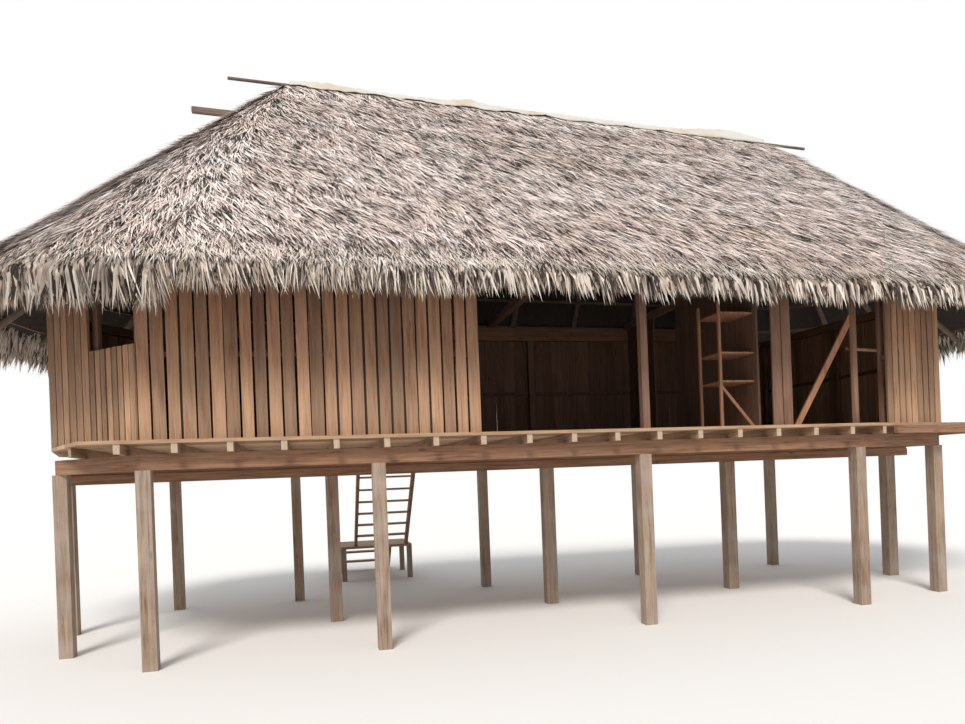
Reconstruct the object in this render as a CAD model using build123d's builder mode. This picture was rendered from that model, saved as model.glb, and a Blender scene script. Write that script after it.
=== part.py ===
from build123d import *
import math
import os

# A timber stilt house under a palm-thatch roof with rounded ends.
# Millimetres. X runs along the front, Y to the back, Z up from the ground.
# The origin is under the foot of the front post at the left end of the long front.

# Levels above the ground
POST_TOP = 1816
BEAM_DEPTH = 145
BOLSTER_DEPTH = 100
JOIST_DEPTH = 90
DECK_THICK = 35
SIDE_PLATE_DEPTH = 168
END_PLATE_DEPTH = 100
WALL_LAP = 20
WINDOW_SILL_RISE = 880

# Plan: where the posts stand
MIDDLE_Y = 1650
REAR_Y = 3400
FRONT_X = (0, 2120, 4940, 7630)
MIDDLE_X = (1720, 4405, 6980, 9560)
REAR_X = (-300, 1280, 3980, 6490, 8870)
LEFT_FRONT_CORNER = (-940, 880)
LEFT_REAR_CORNER = (-1240, 2100)
RIGHT_FRONT_CORNER = (9030, 320)

# Timber sections
POST_SIZE = 130
MIDDLE_POST_SIZE = 145
BEAM_WIDTH = 100
BOLSTER_WIDTH = 130
BOLSTER_REACH = 300
JOIST_WIDTH = 55
JOIST_SPACING = 474
JOIST_FIRST_X = -650
JOIST_COUNT = 23
UPPER_POST_SIZE = 80
PLATE_WIDTH = 100
BOARD_THICK = 25
RAIL_SIZE = 45
RAIL_RISE = 760
BRACE_WIDTH = 70
BRACE_THICK = 25

# Floor edge
DECK_EDGE = 220
LEFT_DECK_X = -480
JOIST_SETBACK = 12
PORCH_X = 9820
PORCH_REAR_Y = 3150
EDGE_PLANK_THICK = 40
EDGE_PLANK_START = 0.25
EDGE_PLANK_LENGTH = 1850

# Walls
FRONT_UPPER_X = (1560, 3110, 4980, 6625)
REAR_UPPER_X = (670, 2100, 3100, 4800, 6800)
FRONT_WALL_END_X = 3160
PANEL_X = (6500, 6750)
WINDOW_START = 640
RIGHT_WALL_START = 520
REAR_DOOR_X = (2150, 3050)
PARTITION_X = 6400
PARTITION_DOOR_Y = (1850, 2500)
SAW_GAP = 2

# Roof
ROOF_X = 4570
ROOF_Y = 1700
EAVE_HALF_WIDTH = 2350
EAVE_ARC_X = 4280
EAVE_Z = 3620
FRINGE_DROP = 280
RIDGE_HALF_LENGTH = 3155
RIDGE_HALF_WIDTH = 80
RIDGE_Z = 6200
RIDGE_FALL = 240
THATCH_RISE = 300
COURSE_RISE = 45
COURSE_END = 0.96
HEM_SHARE = 0.03
END_FLATS = 15
SEAT = 0.3

# Roof frame
BATTEN_WIDTH = 40
BATTEN_THICK = 22
BATTEN_SHARES = (0.1, 0.23, 0.36, 0.49, 0.62, 0.75, 0.88)
TWIST_SEAT = 0.9
END_BATTEN_DROP = 0.5
RAFTER_DIAMETER = 70
RAFTER_SIDES = 8
SIDE_RAFTERS = 9
SIDE_RAFTER_REACH = 0.98
END_RAFTERS = 7
RAFTER_FLATS = 2
RAFTER_FOOT = 0.06
END_RAFTER_TOP = 0.82
RAFTER_BED = 3060
RIDGE_POLE_SIZE = 60
RIDGE_POLE_DROP = 85
RIDGE_POLE_REACH = (1105, -105)
TIE_X = (1945, 4195, 6412.5)
TIE_DEPTH = 90
TIE_WIDTH = 90
KING_POST_SIZE = 80
COVER_THICK = 12
COVER_LIFT = 2
CAP_POLE_LIFT = 1
COVER_HALF_WIDTH = 150
CAP_POLE_DIAMETER = 34
CAP_POLE_LENGTH = 1500
CAP_POLE_REACH = 700

# Rear stair
STAIR_WIDTH = 880
STAIR_RISER = 190
STAIR_GOING = 195
UPPER_TREADS = 7
LANDING_LENGTH = 900
LANDING_THICK = 40
LANDING_OVERHANG = 60
LOWER_TREADS = 2
LOWER_SHIFT = -160
TREAD_THICK = 30
TREAD_LAP = 45
STRINGER_THICK = 45
STRINGER_DEPTH = 170
LANDING_POST_SIZE = 80

# Shelf frame beside the partition
SHELF_X = 5965
SHELF_Y = (110, 560)
SHELF_UPRIGHT = 30
SHELF_RISES = (530, 850, 1300)
SHELF_THICK = 20
SHELF_HEIGHT = 1434
SHELF_STRUT_RISE = 430
SHELF_STRUT_WIDTH = 45
HANGING_RAIL_RISE = 880
HANGING_RAIL_DIAMETER = 35
BRACE_FOOT_X = 6820
BRACE_HEAD_RISE = 1200

# Levels that follow
BEAM_TOP = POST_TOP + BEAM_DEPTH
BOLSTER_BOTTOM = POST_TOP - BOLSTER_DEPTH
DECK_BOTTOM = BEAM_TOP + JOIST_DEPTH
DECK_TOP = DECK_BOTTOM + DECK_THICK
LANDING_TOP = DECK_TOP - (UPPER_TREADS + 1) * STAIR_RISER
HALF_PLATE = PLATE_WIDTH / 2
END_STEP = 180 / END_FLATS
HALF_UPPER = UPPER_POST_SIZE / 2
SIDE_RAFTER_DEPTH = BATTEN_THICK + 2 * TWIST_SEAT + RAFTER_DIAMETER / 2
FALL_DIRECTION = (1, 0, -RIDGE_FALL / (2 * RIDGE_HALF_LENGTH))
CREST_SHARE = EAVE_HALF_WIDTH / (EAVE_HALF_WIDTH - RIDGE_HALF_WIDTH)

# The ring of wall corners, walked with the inside of the house on the left
RING = [
    Vector(FRONT_X[0], 0),
    Vector(FRONT_X[-1], 0),
    Vector(*RIGHT_FRONT_CORNER),
    Vector(REAR_X[-1], REAR_Y),
    Vector(REAR_X[0], REAR_Y),
    Vector(*LEFT_REAR_CORNER),
    Vector(*LEFT_FRONT_CORNER),
]
FRONT, RIGHT_FRONT, RIGHT, REAR, LEFT_REAR, LEFT, LEFT_FRONT = range(7)


def leg(side):
    """Start, direction, inward normal and length of one side of the ring."""
    start, end = RING[side], RING[(side + 1) % len(RING)]
    along = (end - start).normalized()
    return start, along, Vector(-along.Y, along.X), (end - start).length


def corner(index, inset):
    """A ring corner moved inwards by inset from both of its sides."""
    before, after = leg(index - 1)[2], leg(index % len(RING))[2]
    return RING[index % len(RING)] + (before + after) * (inset / (1 + before.dot(after)))


def strip(side, outer, inner, start=None, stop=None):
    """Plan corners of a strip along a side between two insets, mitred where it isn't cut."""
    origin, along, inward, _ = leg(side)
    gap = along * (SAW_GAP / 2)
    corners = []
    for inset in (outer, inner):
        first = corner(side, inset) + gap if start is None else origin + along * start + inward * inset
        last = corner(side + 1, inset) - gap if stop is None else origin + along * stop + inward * inset
        corners.append((first, last))
    return [corners[0][0], corners[0][1], corners[1][1], corners[1][0]]


def timber(corners, bottom, top):
    """An upright prism over plan corners, added to the open part."""
    with BuildSketch(Plane.XY.offset(bottom)) as outline:
        with BuildLine():
            Polyline(*[(c.X, c.Y) for c in corners], close=True)
        make_face()
    extrude(outline.sketch, amount=top - bottom)


def box(low, high):
    """An upright block between two corners, added to the open part."""
    xs, ys = (low[0], high[0], high[0], low[0]), (low[1], low[1], high[1], high[1])
    timber([Vector(x, y) for x, y in zip(xs, ys)], low[2], high[2])


def bar(start, end, diameter, facing=None):
    """A pole hewn to eight flats between two points, one flat facing a given way."""
    along = end - start
    facing = facing or along.cross(Vector(0, 0, 1))
    with BuildSketch(Plane(origin=start, x_dir=facing, z_dir=along)) as section:
        RegularPolygon(diameter / 2, RAFTER_SIDES, major_radius=False, rotation=180 / RAFTER_SIDES)
    extrude(section.sketch, amount=along.length)


def posts(places, size, bottom, top):
    """Square posts at plan points, added to the open part."""
    with BuildSketch(Plane.XY.offset(bottom)) as section:
        with Locations(*places):
            Rectangle(size, size)
    extrude(section.sketch, amount=top - bottom)


def save(part, name):
    """Labels a finished piece and writes it."""
    part.part.label = name
    export_step(part.part, f"parts/{name}.step")


def save_run(name, side, outer, inner, bottom, top, start=None, stop=None):
    """Makes and writes a single strip along one side."""
    with BuildPart() as piece:
        timber(strip(side, outer, inner, start, stop), bottom, top)
    save(piece, name)


def ridge_z(x):
    """Height of the top of the thatch along the ridge, x counted from the roof's middle."""
    return RIDGE_Z - RIDGE_FALL * x / (2 * RIDGE_HALF_LENGTH)


def half_length(share):
    """Half the straight length of the roof: share 0 at the eave, 1 at the ridge."""
    return EAVE_ARC_X + (RIDGE_HALF_LENGTH - EAVE_ARC_X) * share


def half_width(share):
    """Half the width of the roof at the same share."""
    return EAVE_HALF_WIDTH + (RIDGE_HALF_WIDTH - EAVE_HALF_WIDTH) * share


def side_point(place, share, side):
    """A point of the outer thatch on a long slope; place runs from -1 to 1 along it."""
    top = ridge_z(place * RIDGE_HALF_LENGTH)
    return Vector(
        ROOF_X + place * half_length(share),
        ROOF_Y + side * half_width(share),
        EAVE_Z + (top - EAVE_Z) * share,
    )


def end_point(degrees, share, end):
    """A point of the outer thatch on a rounded end; the angle is counted from the roof's length."""
    angle = math.radians(degrees)
    top = ridge_z(end * RIDGE_HALF_LENGTH)
    return Vector(
        ROOF_X + end * (half_length(share) + half_width(share) * math.cos(angle)),
        ROOF_Y + half_width(share) * math.sin(angle),
        EAVE_Z + (top - EAVE_Z) * share,
    )


def bay_point(degrees, share, end):
    """A point on the middle line of one flat of a rounded end."""
    half = END_STEP / 2
    return (end_point(degrees - half, share, end) + end_point(degrees + half, share, end)) / 2


def inward_normal(along, across):
    """The unit normal of the thatch that points down into the roof."""
    normal = along.cross(across).normalized()
    return normal if normal.Z < 0 else normal * -1


def slope_normal(place, side):
    """The inward normal half way up a long slope."""
    along = side_point(place, 1, side) - side_point(place, 0, side)
    return inward_normal(along, side_point(1, 0.5, side) - side_point(-1, 0.5, side))


def plate_top(x):
    """Height of the underside of a rafter over the outer edge of a long plate."""
    share = (EAVE_HALF_WIDTH - REAR_Y / 2 - HALF_PLATE) / (EAVE_HALF_WIDTH - RIDGE_HALF_WIDTH)
    place = (x - ROOF_X) / half_length(share)
    depth = (SIDE_RAFTER_DEPTH + RAFTER_DIAMETER / 2 + SEAT) / abs(slope_normal(place, -1).Z)
    return side_point(place, share, -1).Z - THATCH_RISE - depth


def tie_bottom(x):
    """Height of the bed of a tie, which is level, on the sloping plates."""
    return plate_top(x - TIE_WIDTH / 2) + SEAT


def end_outline(radius, end):
    """Plan points of a half round made of short flats, about its own middle."""
    turns = [math.radians(END_STEP * number - 90) for number in range(END_FLATS + 1)]
    return [(end * radius * math.cos(a), end * radius * math.sin(a)) for a in turns]


def thatch_profile(point, place):
    """The thatch cut up one line of the roof: courses that step outside, a plain bed inside."""
    under, step = Vector(0, 0, -THATCH_RISE), Vector(0, 0, COURSE_RISE)
    crest_x = place * half_length(CREST_SHARE)
    crest = Vector(ROOF_X + crest_x, ROOF_Y, ridge_z(crest_x))
    corners = [point(0) - Vector(0, 0, FRINGE_DROP), point(0)]
    for share in BATTEN_SHARES:
        corners += [point(share), point(share) + step]
    corners += [point(COURSE_END), point(1), crest, crest + under, point(1) + under]
    corners += [point(share) + under for share in reversed(BATTEN_SHARES)]
    corners.append(point(HEM_SHARE) + under)
    return corners


def flat_loft(profiles):
    """A solid with flat faces between the matching corners of a row of profiles."""
    faces = [Face(Wire.make_polygon(profile)) for profile in (profiles[0], profiles[-1])]
    for near, far in zip(profiles, profiles[1:]):
        for index in range(len(near)):
            after = (index + 1) % len(near)
            for flat in ((near[index], near[after], far[after]), (near[index], far[after], far[index])):
                if min((flat[i] - flat[i - 1]).length for i in range(3)) > SEAT:
                    faces.append(Face(Wire.make_polygon(flat)))
    return Solid(Shell(faces)).clean()


def slope_thatch(side):
    """The thatch of one long slope."""
    return flat_loft([thatch_profile(lambda share, x=x: side_point(x, share, side), x) for x in (-1, 1)])


def end_thatch(end):
    """The thatch of one rounded end, in a fan of flats."""
    turns = [END_STEP * number - 90 for number in range(END_FLATS + 1)]
    return flat_loft([thatch_profile(lambda share, a=a: end_point(a, share, end), end) for a in turns])


# The plates hang at the height that the rafters give them, and the uprights reach up to them
PLATE_BED_END = min(ROOF_X + RAFTER_BED, FRONT_X[-1] + HALF_PLATE)
SIDE_PLATE_BOTTOM = plate_top(PLATE_BED_END) - SIDE_PLATE_DEPTH
SIDE_WALL_TOP = SIDE_PLATE_BOTTOM + WALL_LAP
PLATE_LOW = SIDE_PLATE_BOTTOM - END_PLATE_DEPTH

os.makedirs("parts", exist_ok=True)

# Posts under the floor
with BuildPart() as front_posts:
    posts([(x, 0) for x in FRONT_X], POST_SIZE, 0, POST_TOP)
save(front_posts, "front_posts")

with BuildPart() as middle_posts:
    posts([(x, MIDDLE_Y) for x in MIDDLE_X], MIDDLE_POST_SIZE, 0, BOLSTER_BOTTOM)
save(middle_posts, "middle_posts")

with BuildPart() as rear_posts:
    posts([(x, REAR_Y) for x in REAR_X], POST_SIZE, 0, POST_TOP)
save(rear_posts, "rear_posts")

with BuildPart() as corner_posts:
    posts([LEFT_FRONT_CORNER, LEFT_REAR_CORNER, RIGHT_FRONT_CORNER], POST_SIZE, 0, POST_TOP)
save(corner_posts, "corner_posts")

# Beams on the posts, and the deep middle girder of two timbers
half_beam = BEAM_WIDTH / 2
save_run("front_beam", FRONT, -half_beam, half_beam, POST_TOP, BEAM_TOP)
save_run("rear_beam", REAR, -half_beam, half_beam, POST_TOP, BEAM_TOP)

with BuildPart() as left_end_beams:
    for side in (LEFT_REAR, LEFT, LEFT_FRONT):
        timber(strip(side, -half_beam, half_beam), POST_TOP, BEAM_TOP)
save(left_end_beams, "left_end_beams")

with BuildPart() as right_end_beams:
    for side in (RIGHT_FRONT, RIGHT):
        timber(strip(side, -half_beam, half_beam), POST_TOP, BEAM_TOP)
save(right_end_beams, "right_end_beams")


def ring_x(side, y, inset):
    """Where the line beside a side crosses a given y."""
    start, along, inward, _ = leg(side)
    start = start + inward * inset
    return start.X + along.X * (y - start.Y) / along.Y


middle_low, middle_high = MIDDLE_Y - half_beam, MIDDLE_Y + half_beam
left_face = max(ring_x(LEFT, y, half_beam) for y in (middle_low, middle_high)) + SAW_GAP
right_face = min(ring_x(RIGHT, y, half_beam) for y in (middle_low, middle_high)) - SAW_GAP
right_back = max(ring_x(RIGHT, y, -half_beam) for y in (middle_low, middle_high)) + SAW_GAP
girder_end = MIDDLE_X[-1] + BOLSTER_REACH

with BuildPart() as middle_beam:
    box((left_face, middle_low, POST_TOP), (right_face, middle_high, BEAM_TOP))
    box((right_back, middle_low, POST_TOP), (girder_end, middle_high, BEAM_TOP))
save(middle_beam, "middle_beam")

with BuildPart() as middle_bolster:
    half_bolster = BOLSTER_WIDTH / 2
    box((left_face, MIDDLE_Y - half_bolster, BOLSTER_BOTTOM), (girder_end, MIDDLE_Y + half_bolster, POST_TOP))
save(middle_bolster, "middle_bolster")

# Floor: its outline, the joists cut to it, and the boards as one slab
edge_start, edge_along, _, edge_length = leg(RIGHT_FRONT)
porch_front = corner(RIGHT_FRONT + 1, -DECK_EDGE)
porch_corner = porch_front + edge_along * ((PORCH_X - porch_front.X) / edge_along.X)


def deck_outline(inset):
    """Plan corners of the floor, drawn in by inset."""
    edge = inset - DECK_EDGE
    left_edge = inset - HALF_PLATE - BOARD_THICK
    porch_shift = Vector(-inset, inset)
    corners = [Vector(LEFT_DECK_X + inset, edge), corner(RIGHT_FRONT, edge), corner(RIGHT, edge)]
    corners += [porch_corner + porch_shift, Vector(PORCH_X - inset, PORCH_REAR_Y - inset)]
    corners += [corner(side, edge) for side in (REAR, LEFT_REAR)]
    corners += [corner(side, left_edge) for side in (LEFT, LEFT_FRONT)]
    return corners


with BuildPart() as deck:
    timber(deck_outline(0), DECK_BOTTOM, DECK_TOP)
save(deck, "deck")

with BuildPart() as joists:
    timber(deck_outline(JOIST_SETBACK), BEAM_TOP, DECK_BOTTOM)
    with BuildSketch(Plane.XY.offset(BEAM_TOP)):
        for number in range(JOIST_COUNT):
            with Locations((JOIST_FIRST_X + number * JOIST_SPACING, REAR_Y / 2)):
                Rectangle(JOIST_WIDTH, 2 * REAR_Y)
    extrude(amount=JOIST_DEPTH, mode=Mode.INTERSECT)
save(joists, "joists")

save_run(
    "edge_plank",
    RIGHT_FRONT,
    -DECK_EDGE - EDGE_PLANK_THICK,
    -DECK_EDGE,
    BEAM_TOP,
    DECK_BOTTOM,
    start=EDGE_PLANK_START * edge_length,
    stop=EDGE_PLANK_START * edge_length + EDGE_PLANK_LENGTH,
)

# Upper posts: round at the corners of the ring, square along its sides
with BuildPart() as corner_uprights:
    with BuildSketch(Plane.XY.offset(DECK_TOP)):
        with Locations(*[(c.X, c.Y) for c in RING]):
            RegularPolygon(HALF_UPPER - SEAT, RAFTER_SIDES, major_radius=True)
    extrude(amount=PLATE_LOW - DECK_TOP)
save(corner_uprights, "corner_uprights")

with BuildPart() as front_uprights:
    posts([(x, 0) for x in FRONT_UPPER_X], UPPER_POST_SIZE, DECK_TOP, SIDE_PLATE_BOTTOM)
save(front_uprights, "front_uprights")

with BuildPart() as rear_uprights:
    posts([(x, REAR_Y) for x in REAR_UPPER_X], UPPER_POST_SIZE, DECK_TOP, SIDE_PLATE_BOTTOM)
save(rear_uprights, "rear_uprights")

with BuildPart() as end_uprights:
    for side, place in ((LEFT_FRONT, WINDOW_START), (RIGHT_FRONT, RIGHT_WALL_START)):
        stop = place + UPPER_POST_SIZE / 2
        timber(strip(side, 0, HALF_UPPER, place - UPPER_POST_SIZE / 2, stop), DECK_TOP, PLATE_LOW)
    right_middle = leg(RIGHT)[3] / 2
    timber(
        strip(RIGHT, -HALF_UPPER, HALF_UPPER, right_middle - HALF_UPPER, right_middle + HALF_UPPER),
        DECK_TOP,
        PLATE_LOW,
    )
save(end_uprights, "end_uprights")

# Wall plates; the long ones are hewn to the fall of the roof, so that each rafter beds on them
def side_plate(name, y, x_range):
    """Makes and writes a long plate with its top under the rafters."""
    low, high = x_range
    bed_low, bed_high = max(low, ROOF_X - RAFTER_BED), min(high, ROOF_X + RAFTER_BED)
    with BuildPart() as plate:
        box((low, y - HALF_PLATE, SIDE_PLATE_BOTTOM), (high, y + HALF_PLATE, SIDE_WALL_TOP))
        with BuildSketch(Plane.XZ.offset(-y - HALF_PLATE)):
            with BuildLine():
                Polyline(
                    (bed_low, SIDE_WALL_TOP),
                    (bed_high, SIDE_WALL_TOP),
                    (bed_high, plate_top(bed_high)),
                    (bed_low, plate_top(bed_low)),
                    close=True,
                )
            make_face()
        extrude(amount=PLATE_WIDTH)
    save(plate, name)


side_plate("front_plate", 0, (FRONT_X[0] - HALF_PLATE, FRONT_X[-1] + HALF_PLATE))
side_plate("rear_plate", REAR_Y, (REAR_X[0] - HALF_PLATE, REAR_X[-1] + HALF_PLATE))

with BuildPart() as left_end_plates:
    for side in (LEFT_REAR, LEFT, LEFT_FRONT):
        timber(strip(side, -HALF_PLATE, HALF_PLATE), PLATE_LOW, SIDE_PLATE_BOTTOM)
save(left_end_plates, "left_end_plates")

with BuildPart() as right_end_plates:
    for side in (RIGHT_FRONT, RIGHT):
        timber(strip(side, -HALF_PLATE, HALF_PLATE), PLATE_LOW, SIDE_PLATE_BOTTOM)
save(right_end_plates, "right_end_plates")

# Walls of upright boards outside the posts and plates, each as one slab
wall_out, wall_in = -HALF_PLATE - BOARD_THICK, -HALF_PLATE
end_top = SIDE_PLATE_BOTTOM
save_run("front_wall", FRONT, wall_out, wall_in, DECK_TOP, SIDE_WALL_TOP, stop=FRONT_WALL_END_X)
save_run("front_panel", FRONT, wall_out, wall_in, DECK_TOP, SIDE_WALL_TOP, *PANEL_X)
right_wall_start = RIGHT_WALL_START - HALF_UPPER
save_run("right_front_wall", RIGHT_FRONT, wall_out, wall_in, DECK_TOP, end_top, start=right_wall_start)
save_run("right_wall", RIGHT, wall_out, wall_in, DECK_TOP, end_top)
save_run("left_rear_wall", LEFT_REAR, wall_out, wall_in, DECK_TOP, end_top)
save_run("left_wall", LEFT, wall_out, wall_in, DECK_TOP, end_top)
save_run("left_front_wall", LEFT_FRONT, wall_out, wall_in, DECK_TOP, end_top, stop=WINDOW_START)
sill_top = DECK_TOP + WINDOW_SILL_RISE
save_run("window_apron", LEFT_FRONT, wall_out, wall_in, DECK_TOP, sill_top, start=WINDOW_START + SAW_GAP)

door_from, door_to = (REAR_X[-1] - x for x in reversed(REAR_DOOR_X))
save_run("rear_wall_right", REAR, wall_out, wall_in, DECK_TOP, SIDE_WALL_TOP, stop=door_from)
save_run("rear_wall_left", REAR, wall_out, wall_in, DECK_TOP, SIDE_WALL_TOP, start=door_to)

# Rails that the boards are nailed to, let in between the uprights
rail_bays = [
    (FRONT, [FRONT_X[0], *FRONT_UPPER_X[:2]]),
    (RIGHT_FRONT, [RIGHT_WALL_START - UPPER_POST_SIZE, leg(RIGHT_FRONT)[3]]),
    (RIGHT, [0, right_middle, leg(RIGHT)[3]]),
    (REAR, [REAR_X[-1] - x for x in (REAR_X[-1], *reversed(REAR_UPPER_X[2:]))]),
    (REAR, [REAR_X[-1] - x for x in (*reversed(REAR_UPPER_X[:2]), REAR_X[0])]),
]
rail_bays += [(side, [0, leg(side)[3]]) for side in (LEFT_REAR, LEFT, LEFT_FRONT)]
with BuildPart() as wall_rails:
    rail_bottom = DECK_TOP + RAIL_RISE
    for side, stops in rail_bays:
        for start, stop in zip(stops, stops[1:]):
            ends = (start + HALF_UPPER + SEAT, stop - HALF_UPPER - SEAT)
            timber(strip(side, wall_in, wall_in + RAIL_SIZE, *ends), rail_bottom, rail_bottom + RAIL_SIZE)
save(wall_rails, "wall_rails")

# Pole to hang things on, tied inside the open bay at the right of the front
with BuildPart() as hanging_rail:
    bay_start, bay_along, bay_inward, _ = leg(RIGHT_FRONT)
    bay_line = bay_start + bay_inward * (HALF_UPPER + SEAT + HANGING_RAIL_DIAMETER / 2)
    rail_start = bay_line - bay_along * HALF_UPPER
    rail_stop = bay_line + bay_along * (RIGHT_WALL_START + HALF_UPPER)
    rail_level = Vector(0, 0, DECK_TOP + HANGING_RAIL_RISE)
    bar(rail_start + rail_level, rail_stop + rail_level, HANGING_RAIL_DIAMETER, bay_inward)
save(hanging_rail, "hanging_rail")

# Partition across the house, with a doorway
partition_face = PARTITION_X + BOARD_THICK
with BuildPart() as partition:
    partition_top = tie_bottom(TIE_X[-1])
    box((PARTITION_X, HALF_PLATE + SAW_GAP, DECK_TOP), (partition_face, PARTITION_DOOR_Y[0], partition_top))
    box(
        (PARTITION_X, PARTITION_DOOR_Y[1], DECK_TOP),
        (partition_face, REAR_Y - HALF_PLATE - SAW_GAP, partition_top),
    )
save(partition, "partition")

# Ties across the plates and the posts that carry the ridge pole
ridge_under = RIDGE_POLE_SIZE / 2 + RIDGE_POLE_DROP + THATCH_RISE
with BuildPart() as tie_beams:
    for x in TIE_X:
        box((x - TIE_WIDTH / 2, 0, tie_bottom(x)), (x + TIE_WIDTH / 2, REAR_Y, tie_bottom(x) + TIE_DEPTH))
save(tie_beams, "tie_beams")

with BuildPart() as king_posts:
    half_king = KING_POST_SIZE / 2
    for x in TIE_X:
        top = ridge_z(x + half_king - ROOF_X) - ridge_under - SEAT
        low = (x - half_king, ROOF_Y - half_king, tie_bottom(x) + TIE_DEPTH)
        box(low, (x + half_king, ROOF_Y + half_king, top))
save(king_posts, "king_posts")

ridge_start_x = -RIDGE_HALF_LENGTH - RIDGE_POLE_REACH[0]
ridge_end_x = RIDGE_HALF_LENGTH + RIDGE_POLE_REACH[1]


def ridge_pole_point(x):
    """A point on the middle line of the ridge pole, x counted from the roof's middle."""
    return Vector(ROOF_X + x, ROOF_Y, ridge_z(x) - THATCH_RISE - RIDGE_POLE_DROP)


def ridge_pole_profile(x, size):
    """A square section of the ridge pole at x."""
    with BuildSketch(Plane(ridge_pole_point(x), x_dir=(0, 1, 0), z_dir=FALL_DIRECTION)) as section:
        Rectangle(size, size)
    return section.sketch


pole_length = (ridge_pole_point(ridge_end_x) - ridge_pole_point(ridge_start_x)).length
with BuildPart() as ridge_pole:
    extrude(ridge_pole_profile(ridge_start_x, RIDGE_POLE_SIZE), amount=pole_length)
save(ridge_pole, "ridge_pole")

# Rafters: close to parallel on the long slopes, fanned on the rounded ends
with BuildPart() as side_rafters:
    for side in (-1, 1):
        for number in range(SIDE_RAFTERS):
            place = SIDE_RAFTER_REACH * (2 * number / (SIDE_RAFTERS - 1) - 1)
            normal = slope_normal(place, side)
            drop = Vector(0, 0, -THATCH_RISE) + normal * SIDE_RAFTER_DEPTH
            foot, head = side_point(place, RAFTER_FOOT, side) + drop, side_point(place, 1, side) + drop
            bar(foot, head, RAFTER_DIAMETER, normal)
    half_pole = RIDGE_POLE_SIZE / 2 + SEAT
    with Locations((ROOF_X, ROOF_Y, EAVE_Z)):
        Box(4 * RIDGE_HALF_LENGTH, 2 * half_pole, 2 * RIDGE_Z, mode=Mode.SUBTRACT)
save(side_rafters, "side_rafters")

with BuildPart() as end_rafters:
    for end in (-1, 1):
        for number in range(END_RAFTERS):
            angle = END_STEP * RAFTER_FLATS * (number - (END_RAFTERS - 1) / 2)
            foot, head = bay_point(angle, RAFTER_FOOT, end), bay_point(angle, END_RAFTER_TOP, end)
            edge = end_point(angle + END_STEP / 2, RAFTER_FOOT, end) - foot
            normal = inward_normal(head - foot, edge)
            batten = BATTEN_WIDTH * abs(normal.Z) + BATTEN_THICK * math.sqrt(1 - normal.Z**2)
            drop = Vector(0, 0, -THATCH_RISE - END_BATTEN_DROP)
            drop += normal * (batten + RAFTER_DIAMETER / 2 + SEAT)
            bar(foot + drop, head + drop, RAFTER_DIAMETER, normal)
save(end_rafters, "end_rafters")

# Battens under the thatch: flat on the long slopes, bent on edge round the ends
with BuildPart() as side_battens:
    for side in (-1, 1):
        normal = slope_normal(0, side)
        for share in BATTEN_SHARES:
            start, end = side_point(-1, share, side), side_point(1, share, side)
            along = (end - start).normalized()
            shift = Vector(0, 0, -THATCH_RISE) + normal * (BATTEN_THICK / 2 + TWIST_SEAT)
            with BuildSketch(Plane(origin=start + shift + along * SAW_GAP, x_dir=normal, z_dir=along)):
                Rectangle(BATTEN_THICK, BATTEN_WIDTH)
            extrude(amount=(end - start).length - 2 * SAW_GAP)
save(side_battens, "side_battens")

with BuildPart() as end_battens:
    for end in (-1, 1):
        for share in BATTEN_SHARES:
            top = end_point(0, share, end).Z - THATCH_RISE - END_BATTEN_DROP
            with BuildSketch(Plane((ROOF_X + end * half_length(share), ROOF_Y, top))) as ring:
                Polygon(*end_outline(half_width(share), end), align=None)
                Polygon(*end_outline(half_width(share) - BATTEN_THICK, end), align=None, mode=Mode.SUBTRACT)
            extrude(ring.sketch, amount=-BATTEN_WIDTH)
save(end_battens, "end_battens")

# Thatch: two slopes and two rounded ends, cut clear of the ridge pole that pokes out on the left
pole_clearance = ridge_pole_profile(ridge_start_x, RIDGE_POLE_SIZE + 2 * SEAT)
for name, thatch in (
    ("left_end_thatch", end_thatch(-1)),
    ("right_end_thatch", end_thatch(1)),
    ("front_thatch", slope_thatch(-1)),
    ("rear_thatch", slope_thatch(1)),
):
    with BuildPart() as piece:
        add(thatch)
        extrude(pole_clearance, amount=pole_length, mode=Mode.SUBTRACT)
    save(piece, name)

# Folded sheet over the ridge
cover_slope = (ridge_z(RIDGE_HALF_LENGTH) - EAVE_Z) / (EAVE_HALF_WIDTH - RIDGE_HALF_WIDTH)
with BuildPart() as ridge_cover:
    cover_start = (ROOF_X - RIDGE_HALF_LENGTH, ROOF_Y, ridge_z(-RIDGE_HALF_LENGTH) + COVER_LIFT)
    wing = (COVER_HALF_WIDTH - RIDGE_HALF_WIDTH) * cover_slope
    with BuildSketch(Plane(cover_start, x_dir=(0, 1, 0), z_dir=FALL_DIRECTION)):
        with BuildLine():
            Polyline(
                (-COVER_HALF_WIDTH, -wing),
                (-RIDGE_HALF_WIDTH, 0),
                (RIDGE_HALF_WIDTH, 0),
                (COVER_HALF_WIDTH, -wing),
                (COVER_HALF_WIDTH, -wing + COVER_THICK),
                (RIDGE_HALF_WIDTH, COVER_THICK),
                (-RIDGE_HALF_WIDTH, COVER_THICK),
                (-COVER_HALF_WIDTH, -wing + COVER_THICK),
                close=True,
            )
        make_face()
    extrude(amount=2 * RIDGE_HALF_LENGTH)
save(ridge_cover, "ridge_cover")

# Poles that lie on the ends of the ridge cover
with BuildPart() as cap_poles:
    for end in (-1, 1):
        outer_x = end * (RIDGE_HALF_LENGTH + CAP_POLE_REACH)
        inner_x = outer_x - end * CAP_POLE_LENGTH
        rise = COVER_LIFT + COVER_THICK + CAP_POLE_LIFT + CAP_POLE_DIAMETER / 2
        start = Vector(ROOF_X + inner_x, ROOF_Y, ridge_z(inner_x) + rise)
        bar(start, Vector(ROOF_X + outer_x, ROOF_Y, ridge_z(outer_x) + rise), CAP_POLE_DIAMETER)
save(cap_poles, "cap_poles")

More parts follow.
